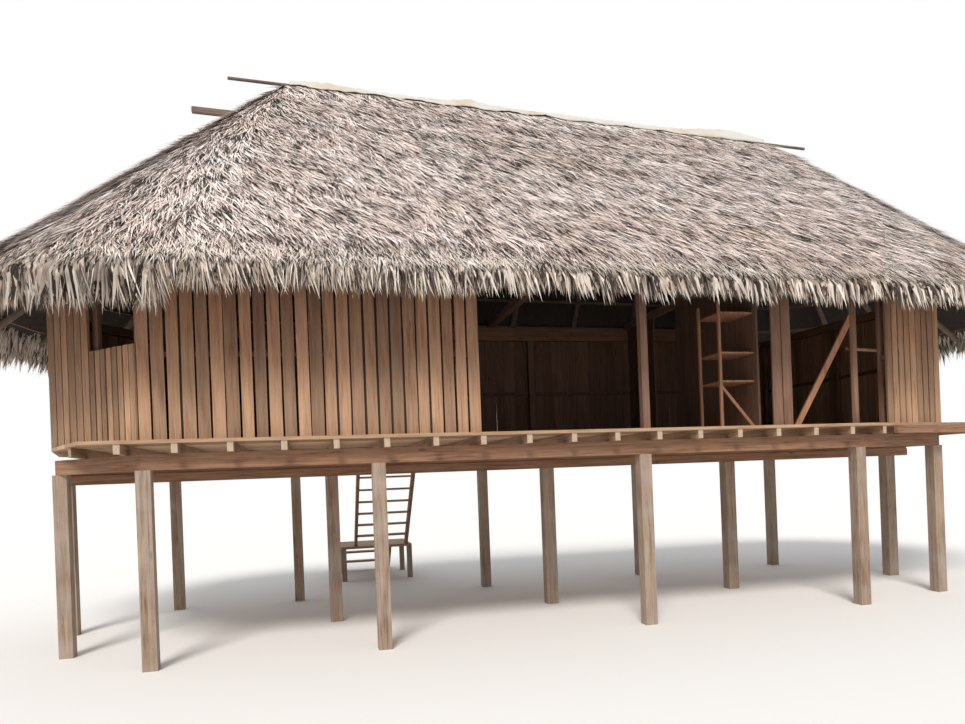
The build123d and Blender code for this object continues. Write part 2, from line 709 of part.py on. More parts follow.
# Rear stair: a flight to a landing on posts, and a short flight to the ground
stair_x = sum(REAR_DOOR_X) / 2
flight_y = REAR_Y + DECK_EDGE + SEAT
landing_y = flight_y + (UPPER_TREADS + 1) * STAIR_GOING
lower_y = landing_y + LANDING_LENGTH


def flight(name, middle_x, top_y, top_z, treads, foot_z):
    """Two sloping stringers and the treads let in between them, as two pieces."""
    half = STAIR_WIDTH / 2
    steps = treads + 1
    slope = STAIR_RISER / STAIR_GOING
    foot_y = top_y + (top_z - foot_z - SEAT) / slope
    with BuildPart() as stringers:
        for outer in (middle_x - half, middle_x + half - STRINGER_THICK):
            with BuildSketch(Plane.YZ.offset(outer)):
                with BuildLine():
                    Polyline(
                        (top_y, top_z),
                        (foot_y, foot_z + SEAT),
                        (foot_y - STRINGER_DEPTH, foot_z + SEAT),
                        (top_y, top_z - STRINGER_DEPTH * slope),
                        close=True,
                    )
                make_face()
            extrude(amount=STRINGER_THICK)
    save(stringers, name + "_stringers")
    with BuildPart() as boards:
        for number in range(1, steps):
            back = top_y + (number - 1) * STAIR_GOING + TREAD_LAP / 2
            high = top_z - number * STAIR_RISER
            width = half - STRINGER_THICK - SEAT
            box((middle_x - width, back, high - TREAD_THICK), (middle_x + width, back + STAIR_GOING, high))
    save(boards, name + "_treads")


flight("upper_stair", stair_x, flight_y, DECK_TOP, UPPER_TREADS, LANDING_TOP)
flight("lower_stair", stair_x + LOWER_SHIFT, lower_y, LANDING_TOP, LOWER_TREADS, 0)

landing_half = STAIR_WIDTH / 2 + LANDING_OVERHANG
landing_front = landing_y - STRINGER_DEPTH - TREAD_LAP
with BuildPart() as landing:
    box(
        (stair_x - landing_half + LOWER_SHIFT, landing_front, LANDING_TOP - LANDING_THICK),
        (stair_x + landing_half, lower_y - SEAT, LANDING_TOP),
    )
save(landing, "landing")

with BuildPart() as landing_posts:
    inset = LANDING_POST_SIZE / 2
    xs = (stair_x - landing_half + LOWER_SHIFT + inset, stair_x + landing_half - inset)
    ys = (landing_front + inset, lower_y - SEAT - inset)
    posts([(x, y) for x in xs for y in ys], LANDING_POST_SIZE, 0, LANDING_TOP - LANDING_THICK)
save(landing_posts, "landing_posts")

# Shelf frame: two uprights with a strut to the foot of the partition, and shelves that reach to it
shelf_left, shelf_right = SHELF_X + SHELF_UPRIGHT + SEAT, PARTITION_X - SEAT
with BuildPart() as shelf_frame:
    half = SHELF_UPRIGHT / 2
    ys = (SHELF_Y[0] + half, SHELF_Y[1] - half)
    posts([(SHELF_X + half, y) for y in ys], SHELF_UPRIGHT, DECK_TOP, DECK_TOP + SHELF_HEIGHT)
    strut_top = DECK_TOP + SHELF_STRUT_RISE
    with BuildSketch(Plane.XZ.offset(-SHELF_Y[0])):
        with BuildLine():
            Polyline(
                (shelf_left, strut_top),
                (shelf_left, strut_top + SHELF_STRUT_WIDTH),
                (shelf_right, DECK_TOP + SEAT),
                (shelf_right - SHELF_STRUT_WIDTH, DECK_TOP + SEAT),
                close=True,
            )
        make_face()
    extrude(amount=-SHELF_THICK)
save(shelf_frame, "shelf_frame")

with BuildPart() as shelves:
    for rise in SHELF_RISES:
        box(
            (shelf_left, SHELF_Y[0], DECK_TOP + rise - SHELF_THICK),
            (shelf_right, SHELF_Y[1], DECK_TOP + rise),
        )
save(shelves, "shelves")

# Slanting brace from the floor to the post at the open front
with BuildPart() as front_brace:
    head_x = FRONT_X[-1] - HALF_UPPER - SAW_GAP
    with BuildSketch(Plane.XZ.offset(-HALF_UPPER + BRACE_THICK)):
        with BuildLine():
            Polyline(
                (BRACE_FOOT_X, DECK_TOP + SEAT),
                (BRACE_FOOT_X + BRACE_WIDTH, DECK_TOP + SEAT),
                (head_x, DECK_TOP + BRACE_HEAD_RISE - BRACE_WIDTH),
                (head_x, DECK_TOP + BRACE_HEAD_RISE + BRACE_WIDTH),
                close=True,
            )
        make_face()
    extrude(amount=BRACE_THICK)
save(front_brace, "front_brace")
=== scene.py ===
"""Dresses a timber stilt house: palm leaves, wall boards, floor planks, poles and weathered wood.

Everything is in metres in the row frame: X along the front, Y to the back, Z up from the ground.
The origin is under the front post at the left end of the long front.
"""

import logging
import math
import random
from collections.abc import Callable
from dataclasses import dataclass, field
from enum import Enum
from typing import Any

import bmesh
import bpy
from mathutils import Matrix, Vector, noise

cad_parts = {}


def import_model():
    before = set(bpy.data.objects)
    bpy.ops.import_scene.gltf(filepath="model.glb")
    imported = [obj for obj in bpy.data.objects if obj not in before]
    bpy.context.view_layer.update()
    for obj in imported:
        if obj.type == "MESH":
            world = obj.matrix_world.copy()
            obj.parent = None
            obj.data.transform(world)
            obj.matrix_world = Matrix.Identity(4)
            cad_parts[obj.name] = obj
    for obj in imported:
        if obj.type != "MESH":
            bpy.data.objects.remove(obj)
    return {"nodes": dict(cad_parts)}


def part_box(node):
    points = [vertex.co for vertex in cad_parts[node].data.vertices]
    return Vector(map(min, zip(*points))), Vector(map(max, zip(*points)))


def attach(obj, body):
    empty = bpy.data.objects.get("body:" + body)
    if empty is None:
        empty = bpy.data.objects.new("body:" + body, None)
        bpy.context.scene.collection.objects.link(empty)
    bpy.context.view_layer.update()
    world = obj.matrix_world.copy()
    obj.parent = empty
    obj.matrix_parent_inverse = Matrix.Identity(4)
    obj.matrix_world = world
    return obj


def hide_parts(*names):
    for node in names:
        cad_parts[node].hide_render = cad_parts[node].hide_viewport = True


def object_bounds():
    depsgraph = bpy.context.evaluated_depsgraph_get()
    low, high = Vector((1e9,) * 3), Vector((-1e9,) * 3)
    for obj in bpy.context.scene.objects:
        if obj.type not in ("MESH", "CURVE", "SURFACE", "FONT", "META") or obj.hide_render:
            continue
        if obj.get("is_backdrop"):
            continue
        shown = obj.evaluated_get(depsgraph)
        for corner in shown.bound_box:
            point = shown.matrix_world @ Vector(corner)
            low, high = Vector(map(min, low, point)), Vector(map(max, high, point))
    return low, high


LOG = logging.getLogger("stilt_house")
Colour = tuple[float, float, float]
Scales = tuple[float, float, float]
Faces = list[list[int]]
FaceTest = Callable[[bmesh.types.BMFace], bool]
Socket = bpy.types.NodeSocket
Material = bpy.types.Material
Piece = bpy.types.Object

UP = Vector((0.0, 0.0, 1.0))
DOWN = Vector((0.0, 0.0, -1.0))
RIDGE_Y = 1.7


class Grain(Enum):
    """The row axis that a timber's grain follows, or RUN for level timbers that point any way."""

    X = 0
    Y = 1
    Z = 2
    RUN = 3


class Sheet:
    """A node tree with short calls for adding and joining nodes.

    A Mix node has inputs and results for each kind of value. The numbers here are those for colours.
    """

    mix_inputs: tuple[int, int, int] = (0, 6, 7)
    mix_result: int = 2

    def __init__(self, tree: bpy.types.NodeTree) -> None:
        """Holds the tree.

        Args:
            tree: A shader or geometry node tree.
        """
        self.tree = tree

    def fill(self, socket: Socket, value: Any) -> None:
        """Links an input to an output socket, or sets it to a plain value.

        Args:
            socket: The input.
            value: The output socket or plain value.
        """
        if isinstance(value, Socket):
            self.tree.links.new(value, socket)
        else:
            socket.default_value = value

    def add(self, kind: str, links: dict[Any, Any] | None = None, **settings: Any) -> bpy.types.Node:
        """Adds a node, sets its properties and fills its inputs.

        Args:
            kind: The node's type name.
            links: Input name or number to a socket or a plain value.
            **settings: Properties of the node.

        Returns:
            The new node.
        """
        node = self.tree.nodes.new(kind)
        for name, value in settings.items():
            setattr(node, name, value)
        for key, value in (links or {}).items():
            self.fill(node.inputs[key], value)
        return node

    def math(self, operation: str, first: Any, second: Any = 0.0, clamp: bool = False) -> Socket:
        """A math node's result."""
        links = {0: first, 1: second}
        return self.add("ShaderNodeMath", links, operation=operation, use_clamp=clamp).outputs[0]

    def plus(self, first: Any, second: Any) -> Socket:
        """The sum of two numbers."""
        return self.math("ADD", first, second)

    def minus(self, first: Any, second: Any) -> Socket:
        """A number less another."""
        return self.math("SUBTRACT", first, second)

    def times(self, first: Any, second: Any) -> Socket:
        """The product of two numbers."""
        return self.math("MULTIPLY", first, second)

    def vector(self, operation: str, first: Any, second: Any = (0.0, 0.0, 0.0)) -> Socket:
        """A vector math node's vector."""
        return self.add("ShaderNodeVectorMath", {0: first, 1: second}, operation=operation).outputs[0]

    def dot(self, first: Any, second: Any) -> Socket:
        """The dot product of two vectors."""
        links = {0: first, 1: second}
        return self.add("ShaderNodeVectorMath", links, operation="DOT_PRODUCT").outputs["Value"]

    def scaled(self, first: Any, factor: Any) -> Socket:
        """A vector times a number."""
        return self.add("ShaderNodeVectorMath", {0: first, "Scale": factor}, operation="SCALE").outputs[0]

    def combined(self, x: Any, y: Any, z: Any) -> Socket:
        """A vector from three numbers."""
        return self.add("ShaderNodeCombineXYZ", {0: x, 1: y, 2: z}).outputs[0]

    def part(self, vector: Any, axis: int) -> Socket:
        """A vector's number on one axis."""
        return self.add("ShaderNodeSeparateXYZ", {0: vector}).outputs[axis]

    def coordinate(self, name: str) -> Socket:
        """The place on the object, or the way that its surface faces."""
        return self.add("ShaderNodeTexCoord").outputs[name]

    def attribute(self, name: str) -> Socket:
        """A number stored on the mesh."""
        return self.add("ShaderNodeAttribute", attribute_name=name).outputs["Fac"]

    def blend(self, factor: Any, first: Any, second: Any, mode: str = "MIX") -> Socket:
        """A mix of two colours.

        Args:
            factor: How much of the second colour shows.
            first: The first colour.
            second: The second colour.
            mode: How the second is laid over the first.

        Returns:
            The mixed colour.
        """
        node = self.add("ShaderNodeMix", data_type="RGBA", blend_type=mode)
        for place, value in zip(self.mix_inputs, (factor, first, second)):
            ready = isinstance(value, (Socket, float))
            self.fill(node.inputs[place], value if ready else (*value, 1.0))
        return node.outputs[self.mix_result]

    def ramp(self, factor: Any, stops: list[tuple[float, float]]) -> Socket:
        """A grey ramp's value.

        Args:
            factor: Where on the ramp to read.
            stops: The places on the ramp and their levels.

        Returns:
            The level.
        """
        node = self.add("ShaderNodeValToRGB", {0: factor})
        elements = node.color_ramp.elements
        while len(elements) < len(stops):
            elements.new(0.5)
        for element, (place, level) in zip(elements, stops):
            element.position = place
            element.color = (level, level, level, 1.0)
        return node.outputs[0]

    def noise(
        self, vector: Any, scale: float, detail: float = 4.0, rough: float = 0.55, distort: float = 0.0
    ) -> Socket:
        """A noise texture's value.

        Args:
            vector: The place.
            scale: How fine the noise is.
            detail: How many finer steps it has.
            rough: How strong the finer steps are.
            distort: How much the pattern is bent.

        Returns:
            The value.
        """
        links = {"Vector": vector, "Scale": scale, "Detail": detail, "Roughness": rough}
        return self.add("ShaderNodeTexNoise", {**links, "Distortion": distort}).outputs[0]

    def finish(self, shader: bpy.types.Node, colour: Socket, roughness: float) -> None:
        """Gives a shader its colour and roughness."""
        self.tree.links.new(colour, shader.inputs["Base Color"])
        shader.inputs["Roughness"].default_value = roughness

    def relief(self, shader: bpy.types.Node, height: Socket, strength: float, depth: float) -> None:
        """Gives a shader a fine relief."""
        bump = self.add("ShaderNodeBump", {"Strength": strength, "Distance": depth, "Height": height})
        self.tree.links.new(bump.outputs[0], shader.inputs["Normal"])


def new_material(name: str) -> tuple[Material, Sheet, bpy.types.Node]:
    """An empty node material.

    Args:
        name: The material's name.

    Returns:
        The material, its sheet of nodes and its shader node.
    """
    material = bpy.data.materials.new(name)
    material.use_nodes = True
    sheet = Sheet(material.node_tree)
    shader = material.node_tree.nodes["Principled BSDF"]
    return material, sheet, shader


def shaded(colour: Colour, share: float) -> Colour:
    """A darker tone of a colour."""
    return tuple(share * c for c in colour)


def drawn_out(fine: float, run: float, axis: int) -> Scales:
    """Pattern scales on the three axes: fine across the grain and drawn out along it.

    Args:
        fine: The scale across the grain.
        run: The scale along it.
        axis: The axis along the grain.

    Returns:
        The scales.
    """
    scales = [fine] * 3
    scales[axis] = run
    return tuple(scales)


@dataclass(frozen=True)
class TimberFinish:
    """Sawn or hewn timber with grain, knots, weathering and paler sawn ends.

    Each board's own tone moves the pattern and, where tone_spread is set, shades the board.
    """

    name: str
    pale: Colour
    dark: Colour
    grey: Colour
    grain: Grain
    weather: float = 0.3
    tone_spread: float = 0.0
    ends: Colour | None = None
    bleach_and_light: Colour | None = None
    fibre_fine: float = 26.0
    fibre_run: float = 1.3
    fibre_share: float = 0.7
    streak_scale: float = 3.3
    streak_share: float = 0.3
    knot_fine: float = 7.0
    knot_run: float = 2.2
    knot_strength: float = 0.7
    knot_shade: float = 0.35
    patch_scale: float = 2.3
    pattern_shift: float = 37.0
    end_facing: float = 0.8
    end_shade: float = 0.7
    bleach_and_light_top: float = 3.2
    bleach_and_light_least: float = 0.25
    bleach_and_light_grain: float = 0.4
    relief_strength: float = 0.45
    relief_depth: float = 0.004
    roughness: float = 0.8

    def build(self) -> Material:
        """Makes the timber's material.

        Returns:
            The material.
        """
        material, sheet, shader = new_material(self.name)
        tone = sheet.attribute("tone")
        shift = sheet.times(tone, self.pattern_shift)
        place, axis = self.grain_place(sheet)
        moved = sheet.vector("ADD", place, sheet.combined(shift, shift, shift))
        along = sheet.vector("MULTIPLY", moved, drawn_out(self.fibre_fine, self.fibre_run, axis))
        fibre = sheet.noise(along, scale=1.0, detail=7.0, rough=0.62, distort=0.9)
        streak = sheet.noise(along, scale=self.streak_scale, detail=3.0, rough=0.5, distort=0.2)
        level = sheet.plus(sheet.times(fibre, self.fibre_share), sheet.times(streak, self.streak_share))
        grain = sheet.ramp(level, [(0.36, 0.0), (0.5, 0.55), (0.64, 1.0)])
        wood = self.knotted(sheet, sheet.blend(grain, self.dark, self.pale), moved, axis)
        patch = sheet.noise(moved, scale=self.patch_scale, detail=5.0, rough=0.6)
        patch = sheet.ramp(patch, [(0.38, 0.0), (0.68, 1.0)])
        wood = sheet.blend(sheet.times(patch, self.weather), wood, self.grey)
        if self.ends:
            facing = sheet.math("ABSOLUTE", sheet.part(sheet.coordinate("Normal"), axis))
            sawn = sheet.blend(grain, shaded(self.ends, self.end_shade), self.ends)
            wood = sheet.blend(sheet.math("GREATER_THAN", facing, self.end_facing), wood, sawn)
        # Paler towards the foot: partly bleached wood, partly painted light, as the eave shades the upper
        # boards.
        if self.bleach_and_light:
            wood = sheet.blend(self.bleach_and_light_share(sheet, grain), wood, self.bleach_and_light)
        # A tone below zero, as on the strips behind wall joints, comes out near black: painted shade.
        if self.tone_spread:
            factor = sheet.plus(sheet.times(tone, self.tone_spread), 1.0 - self.tone_spread / 2)
            wood = sheet.blend(1.0, wood, sheet.combined(factor, factor, factor), "MULTIPLY")
        sheet.finish(shader, wood, self.roughness)
        sheet.relief(shader, level, self.relief_strength, self.relief_depth)
        return material

    def grain_place(self, sheet: Sheet) -> tuple[Socket, int]:
        """The place that the grain is read at.

        Args:
            sheet: The material's nodes.

        Returns:
            The place, and the axis of it that runs along the grain.
        """
        place = sheet.coordinate("Object")
        if self.grain is not Grain.RUN:
            return place, self.grain.value
        facing = sheet.coordinate("Normal")
        run = sheet.vector("NORMALIZE", sheet.vector("CROSS_PRODUCT", facing, UP))
        return sheet.combined(sheet.dot(place, run), sheet.dot(place, facing), sheet.part(place, 2)), 0

    def knotted(self, sheet: Sheet, wood: Socket, moved: Socket, axis: int) -> Socket:
        """Wood with small dark knots.

        Args:
            sheet: The material's nodes.
            wood: The wood's colour.
            moved: The place that the pattern is read at.
            axis: The axis along the grain.

        Returns:
            The colour with its knots.
        """
        scales = drawn_out(self.knot_fine, self.knot_run, axis)
        links = {"Vector": sheet.vector("MULTIPLY", moved, scales), "Scale": 1.0}
        distance = sheet.add("ShaderNodeTexVoronoi", links).outputs["Distance"]
        knot = sheet.ramp(distance, [(0.05, 1.0), (0.13, 0.0)])
        return sheet.blend(sheet.times(knot, self.knot_strength), wood, shaded(self.dark, self.knot_shade))

    def bleach_and_light_share(self, sheet: Sheet, grain: Socket) -> Socket:
        """How much paler a board grows towards its foot: partly sun and rain bleaching, partly painted light,
        as the eave shades the upper boards.

        Args:
            sheet: The material's nodes.
            grain: How pale the grain is.

        Returns:
            The share of the paler colour, bleached wood and painted light together.
        """
        depth = sheet.math("SUBTRACT", self.bleach_and_light_top, sheet.part(sheet.coordinate("Object"), 2), clamp=True)
        low = sheet.ramp(depth, [(0.15, 0.0), (0.9, 1.0)])
        return sheet.times(low, sheet.plus(self.bleach_and_light_least, sheet.times(grain, self.bleach_and_light_grain)))


@dataclass(frozen=True)
class LeafFinish:
    """Dry palm leaf: pale and pinkish on the slope, straw and brown at the fringe.

    The darkest blades and the roots are painted shade: they stand for the shadowed gaps between the others.
    """

    name: str = "palm_leaf"
    pale: Colour = (1.0, 0.93, 0.89)
    middle: Colour = (0.58, 0.44, 0.37)
    warm: Colour = (0.68, 0.45, 0.34)
    # Near black: painted shade for the gaps between blades and for the blade roots.
    dark: Colour = (0.055, 0.038, 0.03)
    fringe_pale: Colour = (0.66, 0.60, 0.49)
    fringe_middle: Colour = (0.37, 0.30, 0.215)
    cluster_scale: float = 5.0
    cluster_strength: float = 1.2
    patch_scale: float = 0.9
    patch_strength: float = 0.40
    fringe_strength: float = 0.8
    gap_shade_below: float = 0.28
    pale_above: float = 0.70
    root_shade_end: float = 0.36
    root_shade_strength: float = 0.70
    root_shade_fade: float = 1.3
    roughness: float = 0.75

    def build(self) -> Material:
        """Makes the leaves' material, from the tone, reach and edge that each blade holds.

        Returns:
            The material.
        """
        material, sheet, shader = new_material(self.name)
        place = sheet.coordinate("Object")
        edge = sheet.attribute("edge")
        cluster = sheet.minus(sheet.noise(place, scale=self.cluster_scale, detail=3.0, rough=0.6), 0.5)
        shade = sheet.plus(sheet.attribute("tone"), sheet.times(cluster, self.cluster_strength))
        spread = sheet.ramp(shade, [(self.gap_shade_below, 0.0), (self.pale_above, 1.0)])
        body = sheet.blend(spread, self.middle, self.pale)
        hanging = sheet.blend(spread, self.fringe_middle, self.fringe_pale)
        patch = sheet.noise(place, scale=self.patch_scale, detail=4.0, rough=0.6)
        patch = sheet.ramp(patch, [(0.35, 0.0), (0.7, 1.0)])
        body = sheet.blend(sheet.times(patch, self.patch_strength), body, self.warm)
        body = sheet.blend(sheet.times(edge, self.fringe_strength), body, hanging)
        # Blades whose tone falls lowest are painted near black: painted shade for the gaps between blades.
        body = sheet.blend(sheet.math("LESS_THAN", shade, self.gap_shade_below), body, self.dark)
        # The root end of each blade is painted darker: painted shade where the blades above overlap it, with
        # less of it towards the eave.
        root = sheet.ramp(sheet.attribute("reach"), [(0.0, 1.0), (self.root_shade_end, 0.0)])
        depth = sheet.math("SUBTRACT", self.root_shade_strength, sheet.times(edge, self.root_shade_fade), clamp=True)
        body = sheet.blend(sheet.times(root, depth), body, self.dark)
        sheet.finish(shader, body, self.roughness)
        return material


@dataclass(frozen=True)
class ThatchBedFinish:
    """The dark packed leaves under the outer layer, and their underside inside the roof, which is painted
    near black as shade.
    """

    name: str = "thatch_bed"
    pale: Colour = (0.40, 0.31, 0.25)
    dark: Colour = (0.035, 0.025, 0.02)
    strand_scales: Scales = (55.0, 7.0, 1.0)
    underside_shade_facing: float = -0.1
    underside_shade_strength: float = 0.96
    relief_strength: float = 0.8
    relief_depth: float = 0.02
    roughness: float = 0.9

    def build(self) -> Material:
        """Makes the bed's material.

        Returns:
            The material.
        """
        material, sheet, shader = new_material(self.name)
        flow = sheet.add("ShaderNodeUVMap", uv_map="flow").outputs[0]
        flow = sheet.vector("MULTIPLY", flow, self.strand_scales)
        strand = sheet.noise(flow, scale=1.0, detail=5.0, rough=0.6, distort=0.7)
        colour = sheet.blend(sheet.ramp(strand, [(0.44, 0.0), (0.62, 1.0)]), self.dark, self.pale)
        # Faces that look down, inside the roof, are painted near black: painted shade.
        facing = sheet.part(sheet.coordinate("Normal"), 2)
        under = sheet.math("LESS_THAN", facing, self.underside_shade_facing)
        colour = sheet.blend(sheet.times(under, self.underside_shade_strength), colour, self.dark)
        sheet.finish(shader, colour, self.roughness)
        sheet.relief(shader, strand, self.relief_strength, self.relief_depth)
        return material


@dataclass(frozen=True)
class RidgeSheetFinish:
    """Cream plastic sheet, creased and dusty."""

    name: str = "ridge_sheet"
    clean: Colour = (0.58, 0.55, 0.49)
    dusty: Colour = (0.50, 0.34, 0.22)
    dust_scale: float = 2.1
    dust_strength: float = 0.8
    crease_scales: Scales = (9.0, 26.0, 26.0)
    relief_strength: float = 0.5
    relief_depth: float = 0.01
    roughness: float = 0.45

    def build(self) -> Material:
        """Makes the sheet's material.

        Returns:
            The material.
        """
        material, sheet, shader = new_material(self.name)
        place = sheet.coordinate("Object")
        dust = sheet.noise(place, scale=self.dust_scale, detail=6.0, rough=0.6)
        dust = sheet.ramp(dust, [(0.48, 0.0), (0.72, 1.0)])
        creased = sheet.vector("MULTIPLY", place, self.crease_scales)
        crease = sheet.noise(creased, scale=1.0, detail=4.0, rough=0.5, distort=1.2)
        colour = sheet.blend(sheet.times(dust, self.dust_strength), self.clean, self.dusty)
        sheet.finish(shader, colour, self.roughness)
        sheet.relief(shader, crease, self.relief_strength, self.relief_depth)
        return material


def placed(name: str, mesh: bpy.types.Mesh) -> Piece:
    """Puts a mesh into the scene.

    Args:
        name: The object's name.
        mesh: Its mesh.

    Returns:
        The object, at the origin.
    """
    piece = bpy.data.objects.new(name, mesh)
    bpy.context.scene.collection.objects.link(piece)
    return piece


def mesh_object(name: str, points: list[Vector], faces: Faces, material: Material | None) -> Piece:
    """A new mesh object at the origin.

    Args:
        name: The object's name.
        points: Its vertices in the row frame.
        faces: Its faces, anticlockwise seen from outside.
        material: Its material, if it has one yet.

    Returns:
        The object, linked to the scene.
    """
    mesh = bpy.data.meshes.new(name)
    mesh.from_pydata([tuple(p) for p in points], [], faces)
    mesh.update()
    if material:
        mesh.materials.append(material)
    return placed(name, mesh)


def store(piece: Piece, name: str, values: list[float]) -> None:
    """Stores a number for each of a piece's points."""
    piece.data.attributes.new(name, "FLOAT", "POINT").data.foreach_set("value", values)


def bake_modifiers(piece: Piece, name: str) -> Piece:
    """Turns an object's evaluated shape into a plain mesh of its own.

    Args:
        piece: The object with live modifiers, which goes.
        name: The name of the plain object.

    Returns:
        The plain object.
    """
    graph = bpy.context.evaluated_depsgraph_get()
    graph.update()
    mesh = bpy.data.meshes.new_from_object(piece.evaluated_get(graph), depsgraph=graph)
    bpy.data.objects.remove(piece)
    mesh.name = name
    return placed(name, mesh)


def joined(name: str, parts: list[Piece]) -> Piece:
    """Joins plain mesh objects into one.

    Args:
        name: The joined object's name.
        parts: The objects, which go into the first one.

    Returns:
        The joined object.
    """
    with bpy.context.temp_override(active_object=parts[0], selected_editable_objects=parts, object=parts[0]):
        bpy.ops.object.join()
    parts[0].name = name
    parts[0].data.name = name
    return parts[0]


def dress(node: str, material: Material) -> None:
    """Gives a CAD node's own mesh a finish.

    Args:
        node: The node's name.
        material: The finish.
    """
    mesh = NODES[node].data
    mesh.materials.clear()
    mesh.materials.append(material)


def stands_for(piece: Piece, slot: str, *nodes: str) -> None:
    """Makes a finished piece ride on the house in place of CAD nodes.

    Args:
        piece: The finished piece.
        slot: Not used.
        *nodes: The nodes that it stands for.
    """
    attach(piece, "root")
    if nodes:
        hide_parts(*nodes)
    LOG.info("%s: %d faces", piece.name, len(piece.data.polygons))


@dataclass
class Timbers:
    """The points, faces and tones of like boards that make up one piece."""

    points: list[Vector] = field(default_factory=list)
    faces: Faces = field(default_factory=list)
    tones: list[float] = field(default_factory=list)

    def add(self, points: list[Vector], faces: Faces, tone: float) -> None:
        """Adds a board.

        Args:
            points: Its points.
            faces: Its faces, numbered from its own first point.
            tone: Its tone: 0 is dark and 1 is light.
        """
        base = len(self.points)
        self.points.extend(points)
        self.faces.extend([base + place for place in face] for face in faces)
        self.tones.extend([tone] * len(points))

    def build(self, name: str, material: Material) -> Piece:
        """Makes the boards one object.

        Args:
            name: The object's name.
            material: The boards' finish.

        Returns:
            The object, with each point's tone stored on it.
        """
        piece = mesh_object(name, self.points, self.faces, material)
        store(piece, "tone", self.tones)
        return piece


@dataclass(frozen=True)
class Layer:
    """One kind of leaf layer: how thick it lies, the blades' size, and how they lean and droop.

    The density is in blades a square metre. Lift raises the blades off the roof and droop bends them
    back. Comb turns them sideways higher up the roof, sway turns them by chance, clump makes tufts of
    longer ones, and hang turns them from the slope's line to straight down.
    """

    seed: int
    density: float
    width: float
    length: float
    lift: float
    comb: float
    clump: float
    droop: float
    hang: float = 0.0
    sway: float = 0.42

    def inputs(self, shift: int) -> dict[str, Any]:
        """The values for the leaf tree's named inputs.

        Args:
            shift: What is added to the layer's seed.

        Returns:
            The values by name.
        """
        return {
            "Density": self.density,
            "Width": self.width,
            "Length": self.length,
            "Lift": self.lift,
            "Sway": self.sway,
            "Comb": self.comb,
            "Clump": self.clump,
            "Droop": self.droop,
            "Hang": self.hang,
            "Seed": self.seed + shift,
        }


@dataclass(frozen=True)
class Blade:
    """A leaf blade of unit size along +Y with its upper face to +Z.

    Its rows are place, width and drop, and the last one is the tip.
    """

    name: str
    rows: tuple[tuple[float, float, float], ...]
    twist: float
    lean: float
    cupping: float = 0.25

    def build(self) -> Piece:
        """Makes the blade.

        Returns:
            The blade, with its reach stored from 0 at the root to 1 at the tip.
        """
        points: list[Vector] = []
        reach: list[float] = []
        for along, width, drop in self.rows[:-1]:
            turn = self.twist * along
            for side in (-0.5, 0.5):
                across = side * width * math.cos(turn) + self.lean * along**2
                height = side * width * self.cupping * math.sin(turn) - drop
                points.append(Vector((across, along, height)))
                reach.append(along)
        along, _, drop = self.rows[-1]
        points.append(Vector((self.lean, along, -drop)))
        reach.append(1.0)
        faces = [[n, n + 1, n + 3, n + 2] for n in range(0, len(points) - 3, 2)]
        faces.append([len(points) - 3, len(points) - 2, len(points) - 1])
        piece = mesh_object(self.name, points, faces, None)
        store(piece, "reach", reach)
        return piece


class BladeKind(Enum):
    """The two sets of blades: short ones that lie on the roof, and bent ones that hang at the eave."""

    COVER = "cover"
    FRINGE = "fringe"

    def blades(self) -> list[Blade]:
        """Draws up the four shapes of a set.

        Returns:
            The shapes.
        """
        short = ((0.0, 0.8, 0.0), (1.0, 0.0, 0.10))
        long = ((0.0, 0.7, 0.0), (0.52, 1.0, 0.14), (0.93, 0.0, 0.50))
        rows = short if self is BladeKind.COVER else long
        forms = ((0.8, 1.6), (-0.9, -1.8), (1.5, 0.6), (-0.3, -0.7))
        return [Blade(f"{self.value}_blade_{n}", rows, twist, lean) for n, (twist, lean) in enumerate(forms)]


class Draw(Enum):
    """The random choices for each blade, with what sets the seed of each apart."""

    SHAPE = 5
    TURN = 11
    LIFT = 23
    SIZE = 31
    TONE = 47


